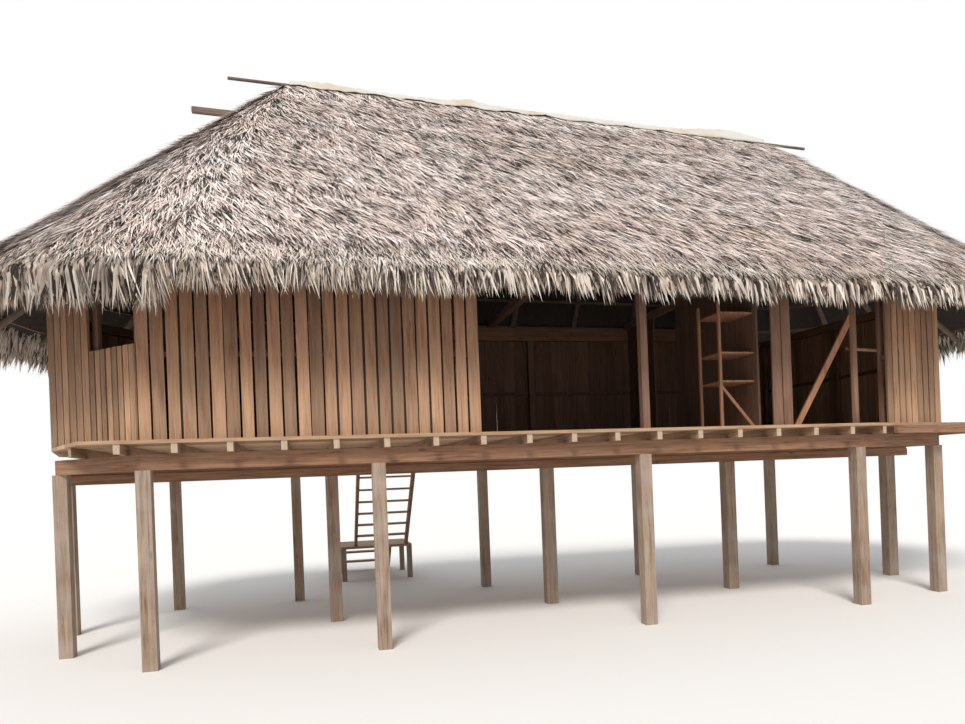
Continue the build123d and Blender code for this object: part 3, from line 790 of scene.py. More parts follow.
@dataclass
class LeafTree:
    """Geometry nodes that lay leaf blades over a shell, with a layer's sizes as named inputs.

    The inputs are given by name, each with a value to start from. The eave's level is that of the
    lowest course's foot, and heights are counted from it.
    """

    kind: BladeKind
    inputs: dict[str, Any]
    eave_level: float
    swirl_scale: float = 1.7
    wisp_scale: float = 7.0
    turns: tuple[float, float, float] = (2.2, 1.6, 0.8)
    lifts: tuple[float, float] = (0.1, 1.1)
    sizes: tuple[float, float] = (0.65, 1.3)
    longest: float = 1.4
    tuft_stretch: float = 2.6
    comb_from: float = 0.25
    comb_rate: float = 1.4
    edge_top: float = 0.24
    edge_band: float = 0.36
    least_fringe_edge: float = 0.5
    last_blade: int = 3

    def __post_init__(self) -> None:
        """Starts the tree with its named inputs."""
        self.tree = bpy.data.node_groups.new(f"lay_{self.kind.value}", "GeometryNodeTree")
        self.sheet = Sheet(self.tree)
        sockets = self.tree.interface
        sockets.new_socket("Geometry", in_out="INPUT", socket_type="NodeSocketGeometry")
        for name, value in self.inputs.items():
            number = "NodeSocketInt" if name == "Seed" else "NodeSocketFloat"
            sockets.new_socket(name, in_out="INPUT", socket_type=number).default_value = value
        sockets.new_socket("Geometry", in_out="OUTPUT", socket_type="NodeSocketGeometry")
        self.group = self.sheet.add("NodeGroupInput").outputs

    def seed(self, draw: Draw) -> Socket:
        """A seed of its own for one random choice."""
        return self.sheet.plus(self.group["Seed"], draw.value)

    def chance(self, draw: Draw, low: float, high: float) -> Socket:
        """A random number for each blade.

        Args:
            draw: The choice that it is for.
            low: The least value.
            high: The greatest value.

        Returns:
            The number.
        """
        links = {2: low, 3: high, "Seed": self.seed(draw)}
        return self.sheet.add("FunctionNodeRandomValue", links, data_type="FLOAT").outputs[1]

    def stored(self, geometry: Socket, name: str, value: Socket) -> Socket:
        """Stores a number on each blade.

        Args:
            geometry: The blades.
            name: The number's name.
            value: The number.

        Returns:
            The blades with the number.
        """
        links = {"Geometry": geometry, "Name": name, "Value": value}
        node = self.sheet.add("GeometryNodeStoreNamedAttribute", links, data_type="FLOAT", domain="INSTANCE")
        return node.outputs[0]

    def leaning(self, normal: Socket, place: Socket, level: Socket, wisp: Socket) -> Socket:
        """The way that each blade points: down the roof, combed sideways and swayed.

        Args:
            normal: The shell's normal.
            place: The blade's place.
            level: The place's height over the eave.
            wisp: Fine noise over the roof.

        Returns:
            The direction.
        """
        sheet, group = self.sheet, self.group
        down = sheet.vector("ADD", DOWN, sheet.scaled(normal, sheet.dot(normal, UP)))
        extra = sheet.add("ShaderNodeCombineXYZ", {2: sheet.times(group["Hang"], -1.0)}).outputs[0]
        down = sheet.vector("NORMALIZE", sheet.vector("ADD", sheet.vector("NORMALIZE", down), extra))
        swirl = sheet.minus(sheet.noise(place, scale=self.swirl_scale, detail=2.0), 0.5)
        height = sheet.math("MULTIPLY", sheet.plus(level, self.comb_from), self.comb_rate, clamp=True)
        turn = sheet.times(group["Comb"], height)
        for factor, amount in zip((swirl, wisp, self.chance(Draw.TURN, -1.0, 1.0)), self.turns):
            turn = sheet.plus(turn, sheet.times(factor, sheet.times(group["Sway"], amount)))
        links = {"Vector": down, "Axis": normal, "Angle": turn}
        return sheet.add("ShaderNodeVectorRotate", links).outputs[0]

    def rotation(self, normal: Socket, lean: Socket) -> Socket:
        """Each blade's rotation, lifted a little off the roof.

        Args:
            normal: The shell's normal.
            lean: The way that the blade points.

        Returns:
            The rotation.
        """
        pitch = self.sheet.times(self.chance(Draw.LIFT, *self.lifts), self.group["Lift"])
        links = {0: self.sheet.vector("ADD", lean, self.sheet.scaled(normal, pitch)), 1: normal}
        axes = {"primary_axis": "Y", "secondary_axis": "Z"}
        return self.sheet.add("FunctionNodeAxesToRotation", links, **axes).outputs[0]

    def scale(self, wisp: Socket) -> Socket:
        """Each blade's width, length and droop.

        Args:
            wisp: Fine noise over the roof.

        Returns:
            The three sizes.
        """
        sheet, group = self.sheet, self.group
        tuft = sheet.plus(1.0, sheet.times(sheet.times(wisp, self.tuft_stretch), group["Clump"]))
        size = self.chance(Draw.SIZE, *self.sizes)
        length = sheet.times(group["Length"], sheet.math("MINIMUM", sheet.times(size, tuft), self.longest))
        return sheet.combined(sheet.times(group["Width"], size), length, sheet.times(length, group["Droop"]))

    def build(self, leaves: bpy.types.Collection, material: Material) -> bpy.types.NodeTree:
        """Adds the tree's nodes.

        Args:
            leaves: The collection of blade shapes.
            material: The leaves' material.

        Returns:
            The finished tree.
        """
        sheet, group = self.sheet, self.group
        links = {"Mesh": group["Geometry"], "Density": group["Density"], "Seed": group["Seed"]}
        scatter = sheet.add("GeometryNodeDistributePointsOnFaces", links).outputs
        place = sheet.add("GeometryNodeInputPosition").outputs[0]
        level = sheet.minus(sheet.part(place, 2), self.eave_level)
        wisp = sheet.minus(sheet.noise(place, scale=self.wisp_scale, detail=1.0), 0.5)
        lean = self.leaning(scatter["Normal"], place, level, wisp)
        links = {"Collection": leaves, "Separate Children": True, "Reset Children": True}
        shapes = sheet.add("GeometryNodeCollectionInfo", links).outputs[0]
        links = {4: 0, 5: self.last_blade, "Seed": self.seed(Draw.SHAPE)}
        pick = sheet.add("FunctionNodeRandomValue", links, data_type="INT").outputs[2]
        links = {
            "Points": scatter["Points"],
            "Instance": shapes,
            "Pick Instance": True,
            "Instance Index": pick,
            "Rotation": self.rotation(scatter["Normal"], lean),
            "Scale": self.scale(wisp),
        }
        laid = sheet.add("GeometryNodeInstanceOnPoints", links).outputs[0]
        edge = sheet.math("DIVIDE", sheet.minus(self.edge_top, level), self.edge_band, clamp=True)
        least = self.least_fringe_edge if self.kind is BladeKind.FRINGE else 0.0
        edge = sheet.math("MAXIMUM", edge, least)
        toned = self.stored(laid, "tone", self.chance(Draw.TONE, 0.0, 1.0))
        toned = self.stored(toned, "edge", edge)
        real = sheet.add("GeometryNodeRealizeInstances", {0: toned}).outputs[0]
        dressed = sheet.add("GeometryNodeSetMaterial", {"Geometry": real, "Material": material}).outputs[0]
        sheet.add("NodeGroupOutput", {0: dressed})
        return self.tree


@dataclass
class Thatch:
    """Palm leaves combed over the four thatch nodes, with a fringe that hangs from the eave."""

    slope_cover: Layer = Layer(1, 2900.0, 0.024, 0.27, lift=0.28, comb=0.42, clump=0.3, droop=1.0)
    end_cover: Layer = Layer(1, 2900.0, 0.024, 0.27, lift=0.28, comb=0.12, clump=0.3, droop=1.0)
    eave_cover: Layer = Layer(9, 3200.0, 0.018, 0.17, lift=0.30, comb=0.30, clump=0.5, droop=1.0)
    slope_eave: Layer = Layer(4, 6600.0, 0.013, 0.30, lift=0.22, comb=0.30, clump=0.8, droop=0.95, hang=0.1)
    end_eave: Layer = Layer(4, 6600.0, 0.013, 0.40, lift=0.20, comb=0.12, clump=0.8, droop=1.0, hang=0.1)
    slope_hem: Layer = Layer(7, 5400.0, 0.012, 0.13, lift=0.22, comb=0.10, clump=0.8, droop=0.25, hang=0.8)
    end_hem: Layer = Layer(7, 5400.0, 0.012, 0.33, lift=0.22, comb=0.06, clump=0.8, droop=0.25, hang=0.8)
    slopes: tuple[str, ...] = ("front_thatch", "rear_thatch")
    rounds: tuple[str, ...] = ("left_end_thatch", "right_end_thatch")
    seed_step: int = 10
    eave_level: float = 3.62
    level_margin: float = 0.02
    least_slope: float = 0.2
    flat_top: float = 0.97
    upright: float = 0.1
    same_way: float = 0.999
    least_run: float = 0.1
    bare_ridge: float = 0.06
    step_band: tuple[float, float] = (0.03, 0.06)
    step_sink: float = 0.032
    steps_a_metre: int = 2000
    foot_margin: float = 0.01
    lip_margin: float = 0.09
    hem_band: float = 0.11
    hem_rise: float = 0.19

    def shell(self, node: str, name: str, keep: FaceTest) -> Piece:
        """A copy of some faces of a thatch node, with the courses' small steps eased.

        Args:
            node: The thatch node.
            name: The copy's name.
            keep: A test of a face that says whether it stays.

        Returns:
            The copy.
        """
        cut = bmesh.new()
        cut.from_mesh(NODES[node].data)
        cut.normal_update()
        raised = self.raised(cut)
        gone = [f for f in cut.faces if not keep(f)]
        for vertex in raised:
            vertex.co.z -= self.step_sink
        bmesh.ops.delete(cut, geom=gone, context="FACES")
        mesh = bpy.data.meshes.new(name)
        cut.to_mesh(mesh)
        cut.free()
        mesh.materials.clear()
        return placed(name, mesh)

    def raised(self, cut: bmesh.types.BMesh) -> list[bmesh.types.BMVert]:
        """The upper corners of the small steps between two courses.

        Args:
            cut: The thatch node's mesh.

        Returns:
            The corners that stand straight over another one by the height of a step.
        """
        low, high = self.step_band
        columns: dict[tuple[int, int], list[bmesh.types.BMVert]] = {}
        for vertex in cut.verts:
            plan = (round(vertex.co.x * self.steps_a_metre), round(vertex.co.y * self.steps_a_metre))
            columns.setdefault(plan, []).append(vertex)
        upper: list[bmesh.types.BMVert] = []
        for column in columns.values():
            upper.extend(v for v in column if any(low < v.co.z - u.co.z < high for u in column))
        return upper

    @staticmethod
    def foot(face: bmesh.types.BMFace) -> float:
        """The height of a face's lowest corner."""
        return min(v.co.z for v in face.verts)

    @staticmethod
    def lowest(node: str) -> float:
        """The height of a node's lowest point."""
        return min(v.co.z for v in NODES[node].data.vertices)

    def outer(self, node: str) -> Piece:
        """The upper faces of a thatch node above its lowest course, bare where the ridge sheet lies.

        Args:
            node: The thatch node.

        Returns:
            The faces as a shell.
        """
        low, high = (Vector(corner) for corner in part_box("ridge_cover"))

        def under_sheet(place: Vector) -> bool:
            """Whether a place is close to the ridge line."""
            near_x = min(max(place.x, low.x), high.x)
            return math.hypot(place.x - near_x, place.y - HOUSE_MIDDLE.y) < self.bare_ridge

        return self.shell(
            node,
            f"{node}_outer",
            lambda face: self.least_slope < face.normal.z < self.flat_top
            and self.foot(face) > self.eave_level + self.level_margin
            and not all(under_sheet(v.co) for v in face.verts),
        )

    def eave(self, node: str) -> Piece:
        """The lowest course of a thatch node.

        Args:
            node: The thatch node.

        Returns:
            Its upper faces as a shell.
        """
        top = self.eave_level + self.level_margin
        return self.shell(
            node, f"{node}_eave", lambda face: face.normal.z > self.least_slope and self.foot(face) < top
        )

    def hem(self, node: str) -> Piece:
        """The upright band along the eave that the lower leaves hang from.

        Args:
            node: The thatch node.

        Returns:
            The band as a shell.
        """
        bottom = self.lowest(node) + self.foot_margin
        ends = self.end_planes(node)
        piece = self.shell(
            node,
            f"{node}_hem",
            lambda face: abs(face.normal.z) < self.upright
            and self.foot(face) < bottom
            and not any(abs(face.normal.dot(end)) > self.same_way for end in ends),
        )
        for vertex in piece.data.vertices:
            if vertex.co.z < bottom:
                vertex.co.z = self.eave_level - self.hem_band
            else:
                vertex.co.z = min(vertex.co.z, self.eave_level)
        return piece

    @staticmethod
    def end_planes(node: str) -> list[Vector]:
        """Normals of the upright faces where two parts of the thatch meet.

        Args:
            node: The thatch node.

        Returns:
            The normals, from faces near the middle of the house that point neither along nor across it.
        """
        upright, near_middle, least, most = 0.01, 0.9, 0.1, 0.95
        return [
            f.normal.copy()
            for f in NODES[node].data.polygons
            if abs(f.normal.z) < upright
            and abs(f.center.y - HOUSE_MIDDLE.y) < near_middle
            and least < abs(f.normal.y) < most
        ]

    def bed(self, node: str, material: Material) -> Piece:
        """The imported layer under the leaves, cut back at the hem so that only leaves hang there.

        Args:
            node: The thatch node.
            material: The bed's finish.

        Returns:
            The bed, with a map that flows down the roof.
        """
        low = self.lowest(node)
        piece = self.shell(node, f"{node}_bed", lambda face: True)
        mesh = piece.data
        for vertex in mesh.vertices:
            if vertex.co.z < low + self.foot_margin:
                vertex.co.z += self.hem_rise
            elif vertex.co.z < low + self.lip_margin:
                vertex.co.z += self.hem_rise / 2
        flow = mesh.uv_layers.new(name="flow")
        for face in mesh.polygons:
            normal = face.normal
            down = DOWN + normal * normal.z
            down = down.normalized() if down.length > self.least_run else Vector((0.0, -1.0, 0.0))
            across = normal.cross(down)
            for loop in face.loop_indices:
                place = mesh.vertices[mesh.loops[loop].vertex_index].co
                flow.data[loop].uv = (place.dot(across), place.dot(down))
        mesh.materials.append(material)
        return piece

    @staticmethod
    def lay(shell: Piece, tree: bpy.types.NodeTree, layer: Layer, shift: int) -> Piece:
        """Lays blades over a shell and returns them as a plain mesh.

        Args:
            shell: The shell, which goes.
            tree: The node tree.
            layer: How the blades lie.
            shift: What is added to the layer's seed.

        Returns:
            The blades.
        """
        modifier = shell.modifiers.new("leaves", "NODES")
        modifier.node_group = tree
        sockets = {item.name: item.identifier for item in tree.interface.items_tree if item.in_out == "INPUT"}
        for name, value in layer.inputs(shift).items():
            modifier[sockets[name]] = value
        return bake_modifiers(shell, f"{shell.name}_leaves")

    def build(self, leaf: Material, bed: Material) -> None:
        """Makes the four parts of the thatch.

        Args:
            leaf: The leaves' finish.
            bed: The bed's finish.
        """
        trees: dict[BladeKind, bpy.types.NodeTree] = {}
        blades: list[Piece] = []
        for kind in BladeKind:
            shapes = bpy.data.collections.new(f"{kind.value}_blades")
            for blade in kind.blades():
                piece = blade.build()
                bpy.context.scene.collection.objects.unlink(piece)
                shapes.objects.link(piece)
                blades.append(piece)
            trees[kind] = LeafTree(kind, self.slope_cover.inputs(0), self.eave_level).build(shapes, leaf)
        lying, hanging = trees[BladeKind.COVER], trees[BladeKind.FRINGE]
        for number, node in enumerate(self.slopes + self.rounds):
            cover, eave, hem = self.slope_cover, self.slope_eave, self.slope_hem
            if node in self.rounds:
                cover, eave, hem = self.end_cover, self.end_eave, self.end_hem
            shift = self.seed_step * number
            parts = [
                self.lay(self.outer(node), lying, cover, shift),
                self.lay(self.eave(node), lying, self.eave_cover, shift),
                self.lay(self.eave(node), hanging, eave, shift),
                self.lay(self.hem(node), hanging, hem, shift),
                self.bed(node, bed),
            ]
            stands_for(joined(f"{node}_leaf_layer", parts), "palm_thatch", node)
        for piece in blades:
            bpy.data.objects.remove(piece)


@dataclass(frozen=True)
class Slab:
    """A wall slab: its outer foot line, the way it faces, its bottom and its top."""

    first: Vector
    last: Vector
    out: Vector
    low: float
    high: float

    @classmethod
    def of(cls, node: str) -> "Slab":
        """The slab of a wall node.

        Args:
            node: The wall's node.

        Returns:
            The slab.
        """
        upright, same_plane = 0.1, 0.001
        mesh = NODES[node].data
        points = [v.co for v in mesh.vertices]
        sides = [f for f in mesh.polygons if abs(f.normal.z) < upright]
        outer = [f for f in sides if f.normal.dot(f.center - HOUSE_MIDDLE) > 0]
        out = max(outer, key=lambda f: f.area).normal.copy()
        along = Vector((-out.y, out.x, 0.0))
        face = max(p.dot(out) for p in points)
        feet = [p.dot(along) for p in points if p.dot(out) > face - same_plane]
        first, last = (along * place + out * face for place in (min(feet), max(feet)))
        return cls(first, last, out, min(p.z for p in points), max(p.z for p in points))

    @property
    def along(self) -> Vector:
        """The foot line's direction."""
        return (self.last - self.first).normalized()

    @property
    def length(self) -> float:
        """The foot line's length."""
        return (self.last - self.first).length

    def point(self, distance: float, depth: float, z: float) -> Vector:
        """A point from its distance along the wall, its depth behind the face and its height."""
        return self.first + self.along * distance - self.out * depth + UP * z

    def upright_faces(self, rows: int) -> Faces:
        """The faces of a board that stands in this wall.

        Args:
            rows: How many lengths the board is made of.

        Returns:
            The faces, for four points at each level: outer and inner, then the same at the far edge.
        """
        faces = []
        for a in range(0, 4 * rows, 4):
            b = a + 4
            faces.append([a, a + 2, b + 2, b])
            faces.append([a + 3, a + 1, b + 1, b + 3])
            faces.append([a + 1, a, b, b + 1])
            faces.append([a + 2, a + 3, b + 3, b + 2])
        top = 4 * rows
        faces.append([0, 1, 3, 2])
        faces.append([top, top + 2, top + 3, top + 1])
        if self.along.cross(UP).dot(self.out) < 0:
            faces = [list(reversed(f)) for f in faces]
        return faces


@dataclass
class BoardWall:
    """A row of upright boards with open joints, made over the slab that it stands for.

    Behind the joints listed by number stands a near-black strip: painted shade that closes the view through
    them.
    """

    node: str
    pitch: float = 0.130
    gap: float = 0.018
    seed: int = 1
    uneven_top: float = 0.0
    shade_strip_joints: tuple[int, ...] = ()
    rows: int = 5
    thickness: float = 0.025
    gap_spread: tuple[float, float] = (0.6, 1.5)
    depth_spread: tuple[float, float] = (0.8, 1.0)
    sideways: float = 0.003
    lean: float = 0.004
    waver: float = 0.0015
    shade_strip_depths: tuple[float, float] = (0.019, 0.024)
    shade_strip_reach: float = 1.2
    shade_strip_margin: float = 0.002
    # A tone below zero makes the strip near black: painted shade.
    shade_strip_tone: float = -0.7

    def board(
        self, chance: random.Random, slab: Slab, number: int, pitch: float
    ) -> tuple[list[Vector], float]:
        """One slightly crooked board.

        Args:
            chance: The wall's random draws.
            slab: The slab that the wall stands for.
            number: The board's number from the left.
            pitch: The spacing of the boards.

        Returns:
            The board's points and tone.
        """
        wide = pitch - self.gap * chance.uniform(*self.gap_spread)
        start = number * pitch + (pitch - wide) / 2 + chance.uniform(-self.sideways, self.sideways)
        start = min(max(start, 0.0), slab.length - wide)
        top = slab.high - self.uneven_top * chance.random()
        lean = chance.uniform(-self.lean, self.lean)
        tone = chance.random()
        depth = self.thickness * chance.uniform(*self.depth_spread)
        points: list[Vector] = []
        for row in range(self.rows + 1):
            z = slab.low + (top - slab.low) * row / self.rows
            waver = [chance.uniform(-self.waver, self.waver) for _ in range(2)]
            shift = lean * (row / self.rows - 0.5)
            for distance in (start + waver[0] + shift, start + wide + waver[1] + shift):
                distance = min(max(distance, 0.0), slab.length)
                points.extend(slab.point(distance, back, z) for back in (0.0, depth))
        return points, tone

    def shade_strip(self, slab: Slab, joint: float) -> list[Vector]:
        """The points of a strip of painted shade behind a joint.

        Args:
            slab: The slab that the wall stands for.
            joint: The joint's distance along the wall.

        Returns:
            The strip's eight points.
        """
        points: list[Vector] = []
        for z in (slab.low + self.shade_strip_margin, slab.high - self.uneven_top - self.shade_strip_margin):
            for shift in (-self.shade_strip_reach, self.shade_strip_reach):
                points.extend(slab.point(joint + shift * self.gap, back, z) for back in self.shade_strip_depths)
        return points

    def build(self, material: Material) -> Piece:
        """Makes the boards.

        Args:
            material: The boards' finish.

        Returns:
            The boards as one piece.
        """
        chance = random.Random(self.seed)
        slab = Slab.of(self.node)
        count = max(1, round(slab.length / self.pitch))
        pitch = slab.length / count
        boards = Timbers()
        for number in range(count):
            points, tone = self.board(chance, slab, number, pitch)
            boards.add(points, slab.upright_faces(self.rows), tone)
        # Near-black strips behind the listed joints: painted shade.
        for number in range(count):
            if number in self.shade_strip_joints:
                boards.add(self.shade_strip(slab, number * pitch), slab.upright_faces(1), self.shade_strip_tone)
        return boards.build(f"{self.node}_boards", material)


@dataclass
class Deck:
    """Floor planks along the house, cut to the floor's outline."""

    plank: float = 0.165
    gap: float = 0.006
    uneven: float = 0.004
    same_corner: float = 0.001
    seed: int = 8

    def outline(self) -> tuple[list[Vector], float, float]:
        """The floor's plan.

        Returns:
            The plan's corners in order, the floor's bottom and its top.
        """
        points = [v.co for v in NODES["deck"].data.vertices]
        low, high = min(p.z for p in points), max(p.z for p in points)
        plan: list[Vector] = []
        for p in points:
            if all((Vector((p.x, p.y)) - q).length > self.same_corner for q in plan):
                plan.append(Vector((p.x, p.y)))
        middle = sum(plan, Vector((0.0, 0.0))) / len(plan)
        plan.sort(key=lambda q: math.atan2(q.y - middle.y, q.x - middle.x))
        return plan, low, high

    @staticmethod
    def clip(plan: list[Vector], y: float, keep_above: bool) -> list[Vector]:
        """The part of a convex outline on one side of a line along X.

        Args:
            plan: The outline's corners in order.
            y: The line's place.
            keep_above: Whether the side with the greater Y stays.

        Returns:
            The part's corners in order.
        """
        kept: list[Vector] = []
        for a, b in zip(plan, plan[1:] + plan[:1]):
            a_in = (a.y >= y) == keep_above
            b_in = (b.y >= y) == keep_above
            if a_in:
                kept.append(a)
            if a_in != b_in:
                share = (y - a.y) / (b.y - a.y)
                kept.append(a + (b - a) * share)
        return kept

    @staticmethod
    def plank_faces(count: int) -> Faces:
        """A plank's bottom, top and sides.

        Args:
            count: The number of corners of its outline.

        Returns:
            The faces.
        """
        faces = [list(reversed(range(count))), list(range(count, 2 * count))]
        for i in range(count):
            j = (i + 1) % count
            faces.append([i, j, count + j, count + i])
        return faces

    def build(self, material: Material) -> Piece:
        """Makes the planks.

        Args:
            material: The planks' finish.

        Returns:
            The planks as one piece.
        """
        chance = random.Random(self.seed)
        plan, low, high = self.outline()
        start, stop = min(p.y for p in plan), max(p.y for p in plan)
        rows = round((stop - start) / self.plank)
        pitch = (stop - start) / rows
        planks = Timbers()
        for row in range(rows):
            strip = self.clip(plan, start + row * pitch + self.gap / 2, True)
            strip = self.clip(strip, start + (row + 1) * pitch - self.gap / 2, False)
            if len(strip) < 3:
                continue
            tone = chance.random()
            top = high - chance.uniform(0.0, self.uneven)
            points = [Vector((p.x, p.y, z)) for z in (low, top) for p in strip]
            planks.add(points, self.plank_faces(len(strip)), tone)
        return planks.build("deck_planks", material)


@dataclass(frozen=True)
class Wave:
    """An uneven smooth wave: its height, how fine it is in two directions, and its own pattern."""

    height: float
    first_rate: float
    second_rate: float
    pattern: float

    def at(self, first: float, second: float) -> float:
        """The wave's height at a place."""
        place = Vector((first * self.first_rate, second * self.second_rate, self.pattern))
        return self.height * noise.noise(place)


@dataclass
class RidgeSheet:
    """The loose plastic sheet over the ridge: draped, creased, and bunched up in two places.

    The crests are shares of the sheet's length and how far its top stands over the ridge there.
    """

    half_width: float = 0.12
    flat_half: float = 0.07
    roof_slope: float = 1.14
    lift: float = 0.035
    edge_drop: float = 0.012
    bunch_powers: tuple[float, float] = (1.6, 1.2)
    side_wave: Wave = Wave(0.35, 23, 0.7, 4.0)
    end_wave: Wave = Wave(0.02, 3, 9, 2.0)
    long_crease: Wave = Wave(0.010, 95, 22, 1.0)
    short_crease: Wave = Wave(0.006, 260, 9, 7.0)
    thickness: float = 0.002
    near_end: float = 0.05
    columns: int = 170
    rows: int = 12
    crests: tuple[tuple[float, float], ...] = (
        (0.0, 0.035),
        (0.05, 0.055),
        (0.12, 0.05),
        (0.18, 0.025),
        (0.30, 0.02),
        (0.315, 0.06),
        (0.345, 0.085),
        (0.37, 0.05),
        (0.385, 0.025),
        (0.60, 0.03),
        (0.80, 0.035),
        (0.86, 0.09),
        (0.92, 0.115),
        (0.96, 0.085),
        (1.0, 0.05),
    )

    def crest(self, share: float) -> float:
        """How far the sheet's top stands over the ridge.

        Args:
            share: A share of the sheet's length.

        Returns:
            The height, eased between the crests on either side.
        """
        for (low, first), (high, last) in zip(self.crests, self.crests[1:]):
            if share <= high:
                blend = (share - low) / (high - low)
                return first + (last - first) * blend * blend * (3 - 2 * blend)
        return self.crests[-1][1]

    def point(self, share: float, side: float, start: Vector, stop: Vector) -> Vector:
        """A point of the sheet.

        Args:
            share: A share of its length.
            side: The place across it, from -1 to 1.
            start: The ridge's left end.
            stop: The ridge's right end.

        Returns:
            The point.
        """
        reach = self.half_width * (1 + self.side_wave.at(share, side))
        y = side * reach
        x = start.x + (stop.x - start.x) * share + self.end_wave.at(side, share)
        ridge = start.z + (stop.z - start.z) * share
        fall = max(0.0, abs(y) - self.flat_half) * self.roof_slope
        broad, round_off = self.bunch_powers
        bunch = self.crest(share) * (1 - abs(side) ** broad) ** round_off
        lift = self.lift - self.edge_drop * abs(side)
        crease = self.long_crease.at(share, y) + self.short_crease.at(share, y)
        return Vector((x, HOUSE_MIDDLE.y + y, ridge - fall + bunch + lift + crease))

    def build(self, material: Material) -> Piece:
        """Makes the sheet.

        Args:
            material: The sheet's finish.

        Returns:
            The sheet.
        """
        corners = [v.co for v in NODES["ridge_cover"].data.vertices]
        ends: list[Vector] = []
        for x in (min(p.x for p in corners), max(p.x for p in corners)):
            top = max(p.z for p in corners if abs(p.x - x) < self.near_end)
            ends.append(Vector((x, HOUSE_MIDDLE.y, top)))
        points: list[Vector] = []
        for column in range(self.columns + 1):
            for row in range(self.rows + 1):
                points.append(self.point(column / self.columns, 2 * row / self.rows - 1, *ends))
        faces: Faces = []
        width = self.rows + 1
        for column in range(self.columns):
            for row in range(self.rows):
                a = column * width + row
                faces.append([a, a + width, a + width + 1, a + 1])
        piece = mesh_object("ridge_sheet_draped", points, faces, material)
        for face in piece.data.polygons:
            face.use_smooth = True
        shell = piece.modifiers.new("thickness", "SOLIDIFY")
        shell.thickness = self.thickness
        return bake_modifiers(piece, "ridge_sheet_draped")


@dataclass(frozen=True)
class Studio:
    """A pale floor, soft light and the camera at the photograph's place. Angles are in degrees."""

    eye: tuple[float, float, float] = (1.44, -7.12, 1.65)
    yaw: float = 13.61
    roll: float = -2.20
    lens: float = 27.0
    shift_up: float = 0.118
    clip_end: float = 300.0
    floor_half: float = 90.0
    floor_colour: Colour = (0.82, 0.80, 0.77)
    floor_roughness: float = 0.95
    sky_colour: Colour = (0.93, 0.96, 1.0)
    sky_strength: float = 0.70
    white: Colour = (1.0, 1.0, 1.0)
    sun_colour: Colour = (1.0, 0.97, 0.93)
    sun_strength: float = 2.7
    sun_width: float = 18.0
    sun_turn: tuple[float, float, float] = (42.0, -14.0, -8.0)

    def camera(self) -> None:
        """Places the level, slightly rolled camera."""
        data = bpy.data.cameras.new("camera")
        data.lens = self.lens
        data.shift_y = self.shift_up
        data.clip_end = self.clip_end
        camera = bpy.data.objects.new("camera", data)
        yaw, roll = math.radians(self.yaw), math.radians(self.roll)
        right = Vector((math.cos(yaw), -math.sin(yaw), 0.0))
        forward = Vector((math.sin(yaw), math.cos(yaw), 0.0))
        side = right * math.cos(roll) + UP * math.sin(roll)
        top = UP * math.cos(roll) - right * math.sin(roll)
        turn = Matrix((side, top, -forward)).transposed().to_4x4()
        camera.matrix_world = Matrix.Translation(self.eye) @ turn
        bpy.context.scene.collection.objects.link(camera)
        bpy.context.scene.camera = camera

    def floor(self) -> None:
        """Lays the pale floor."""
        signs = ((-1, -1), (1, -1), (1, 1), (-1, 1))
        corners = [Vector((self.floor_half * x, self.floor_half * y, 0)) for x, y in signs]
        material, _, shader = new_material("studio_floor")
        shader.inputs["Base Color"].default_value = (*self.floor_colour, 1.0)
        shader.inputs["Roughness"].default_value = self.floor_roughness
        floor = mesh_object("studio_floor", corners, [[0, 1, 2, 3]], material)
        floor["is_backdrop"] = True

    def sky(self) -> None:
        """Sets a soft sky that shows plain white behind the house."""
        world = bpy.data.worlds.new("sky")
        world.use_nodes = True
        bpy.context.scene.world = world
        sheet = Sheet(world.node_tree)
        world.node_tree.nodes.clear()
        paths = sheet.add("ShaderNodeLightPath")
        links = {"Color": (*self.sky_colour, 1.0), "Strength": self.sky_strength}
        glow = sheet.add("ShaderNodeBackground", links)
        back = sheet.add("ShaderNodeBackground", {"Color": (*self.white, 1.0), "Strength": 1.0})
        seen = sheet.math("MAXIMUM", paths.outputs["Is Camera Ray"], paths.outputs["Is Glossy Ray"])
        mixed = sheet.add("ShaderNodeMixShader", {0: seen, 1: glow.outputs[0], 2: back.outputs[0]})
        sheet.add("ShaderNodeOutputWorld", {0: mixed.outputs[0]})

    def sun(self) -> None:
        """Sets a broad soft sun."""
        data = bpy.data.lights.new("soft_sun", "SUN")
        data.energy = self.sun_strength
        data.angle = math.radians(self.sun_width)
        data.color = self.sun_colour
        sun = bpy.data.objects.new("soft_sun", data)
        sun.rotation_euler = [math.radians(angle) for angle in self.sun_turn]
        bpy.context.scene.collection.objects.link(sun)

    def build(self) -> None:
        """Sets up the whole studio."""
        self.camera()
        self.floor()
        self.sky()
        self.sun()
        bpy.context.scene.view_settings.view_transform = "Standard"


POST_WOOD = TimberFinish(
    "post_timber", (0.38, 0.27, 0.19), (0.15, 0.09, 0.058), (0.42, 0.36, 0.30), Grain.Z, weather=0.5
)
UPRIGHT_WOOD = TimberFinish(
    "upright_timber", (0.27, 0.135, 0.08), (0.10, 0.046, 0.028), (0.27, 0.19, 0.14), Grain.Z, weather=0.35
)
GIRDER_X = TimberFinish(
    "girder_timber_x", (0.34, 0.17, 0.09), (0.12, 0.052, 0.028), (0.27, 0.18, 0.12), Grain.X, weather=0.35
)
GIRDER_RUN = TimberFinish(
    "girder_timber_run", (0.34, 0.17, 0.09), (0.12, 0.052, 0.028), (0.27, 0.18, 0.12), Grain.RUN, weather=0.35
)
JOIST_WOOD = TimberFinish(
    "joist_timber",
    (0.42, 0.26, 0.16),
    (0.20, 0.11, 0.07),
    (0.36, 0.28, 0.21),
    Grain.Y,
    ends=(0.52, 0.39, 0.28),
)
POLE_WOOD = TimberFinish(
    "pole_timber", (0.20, 0.135, 0.09), (0.08, 0.05, 0.035), (0.21, 0.17, 0.14), Grain.X, weather=0.4
)
SHELF_WOOD = TimberFinish(
    "shelf_timber", (0.42, 0.20, 0.10), (0.21, 0.09, 0.045), (0.36, 0.24, 0.16), Grain.Z, weather=0.2
)
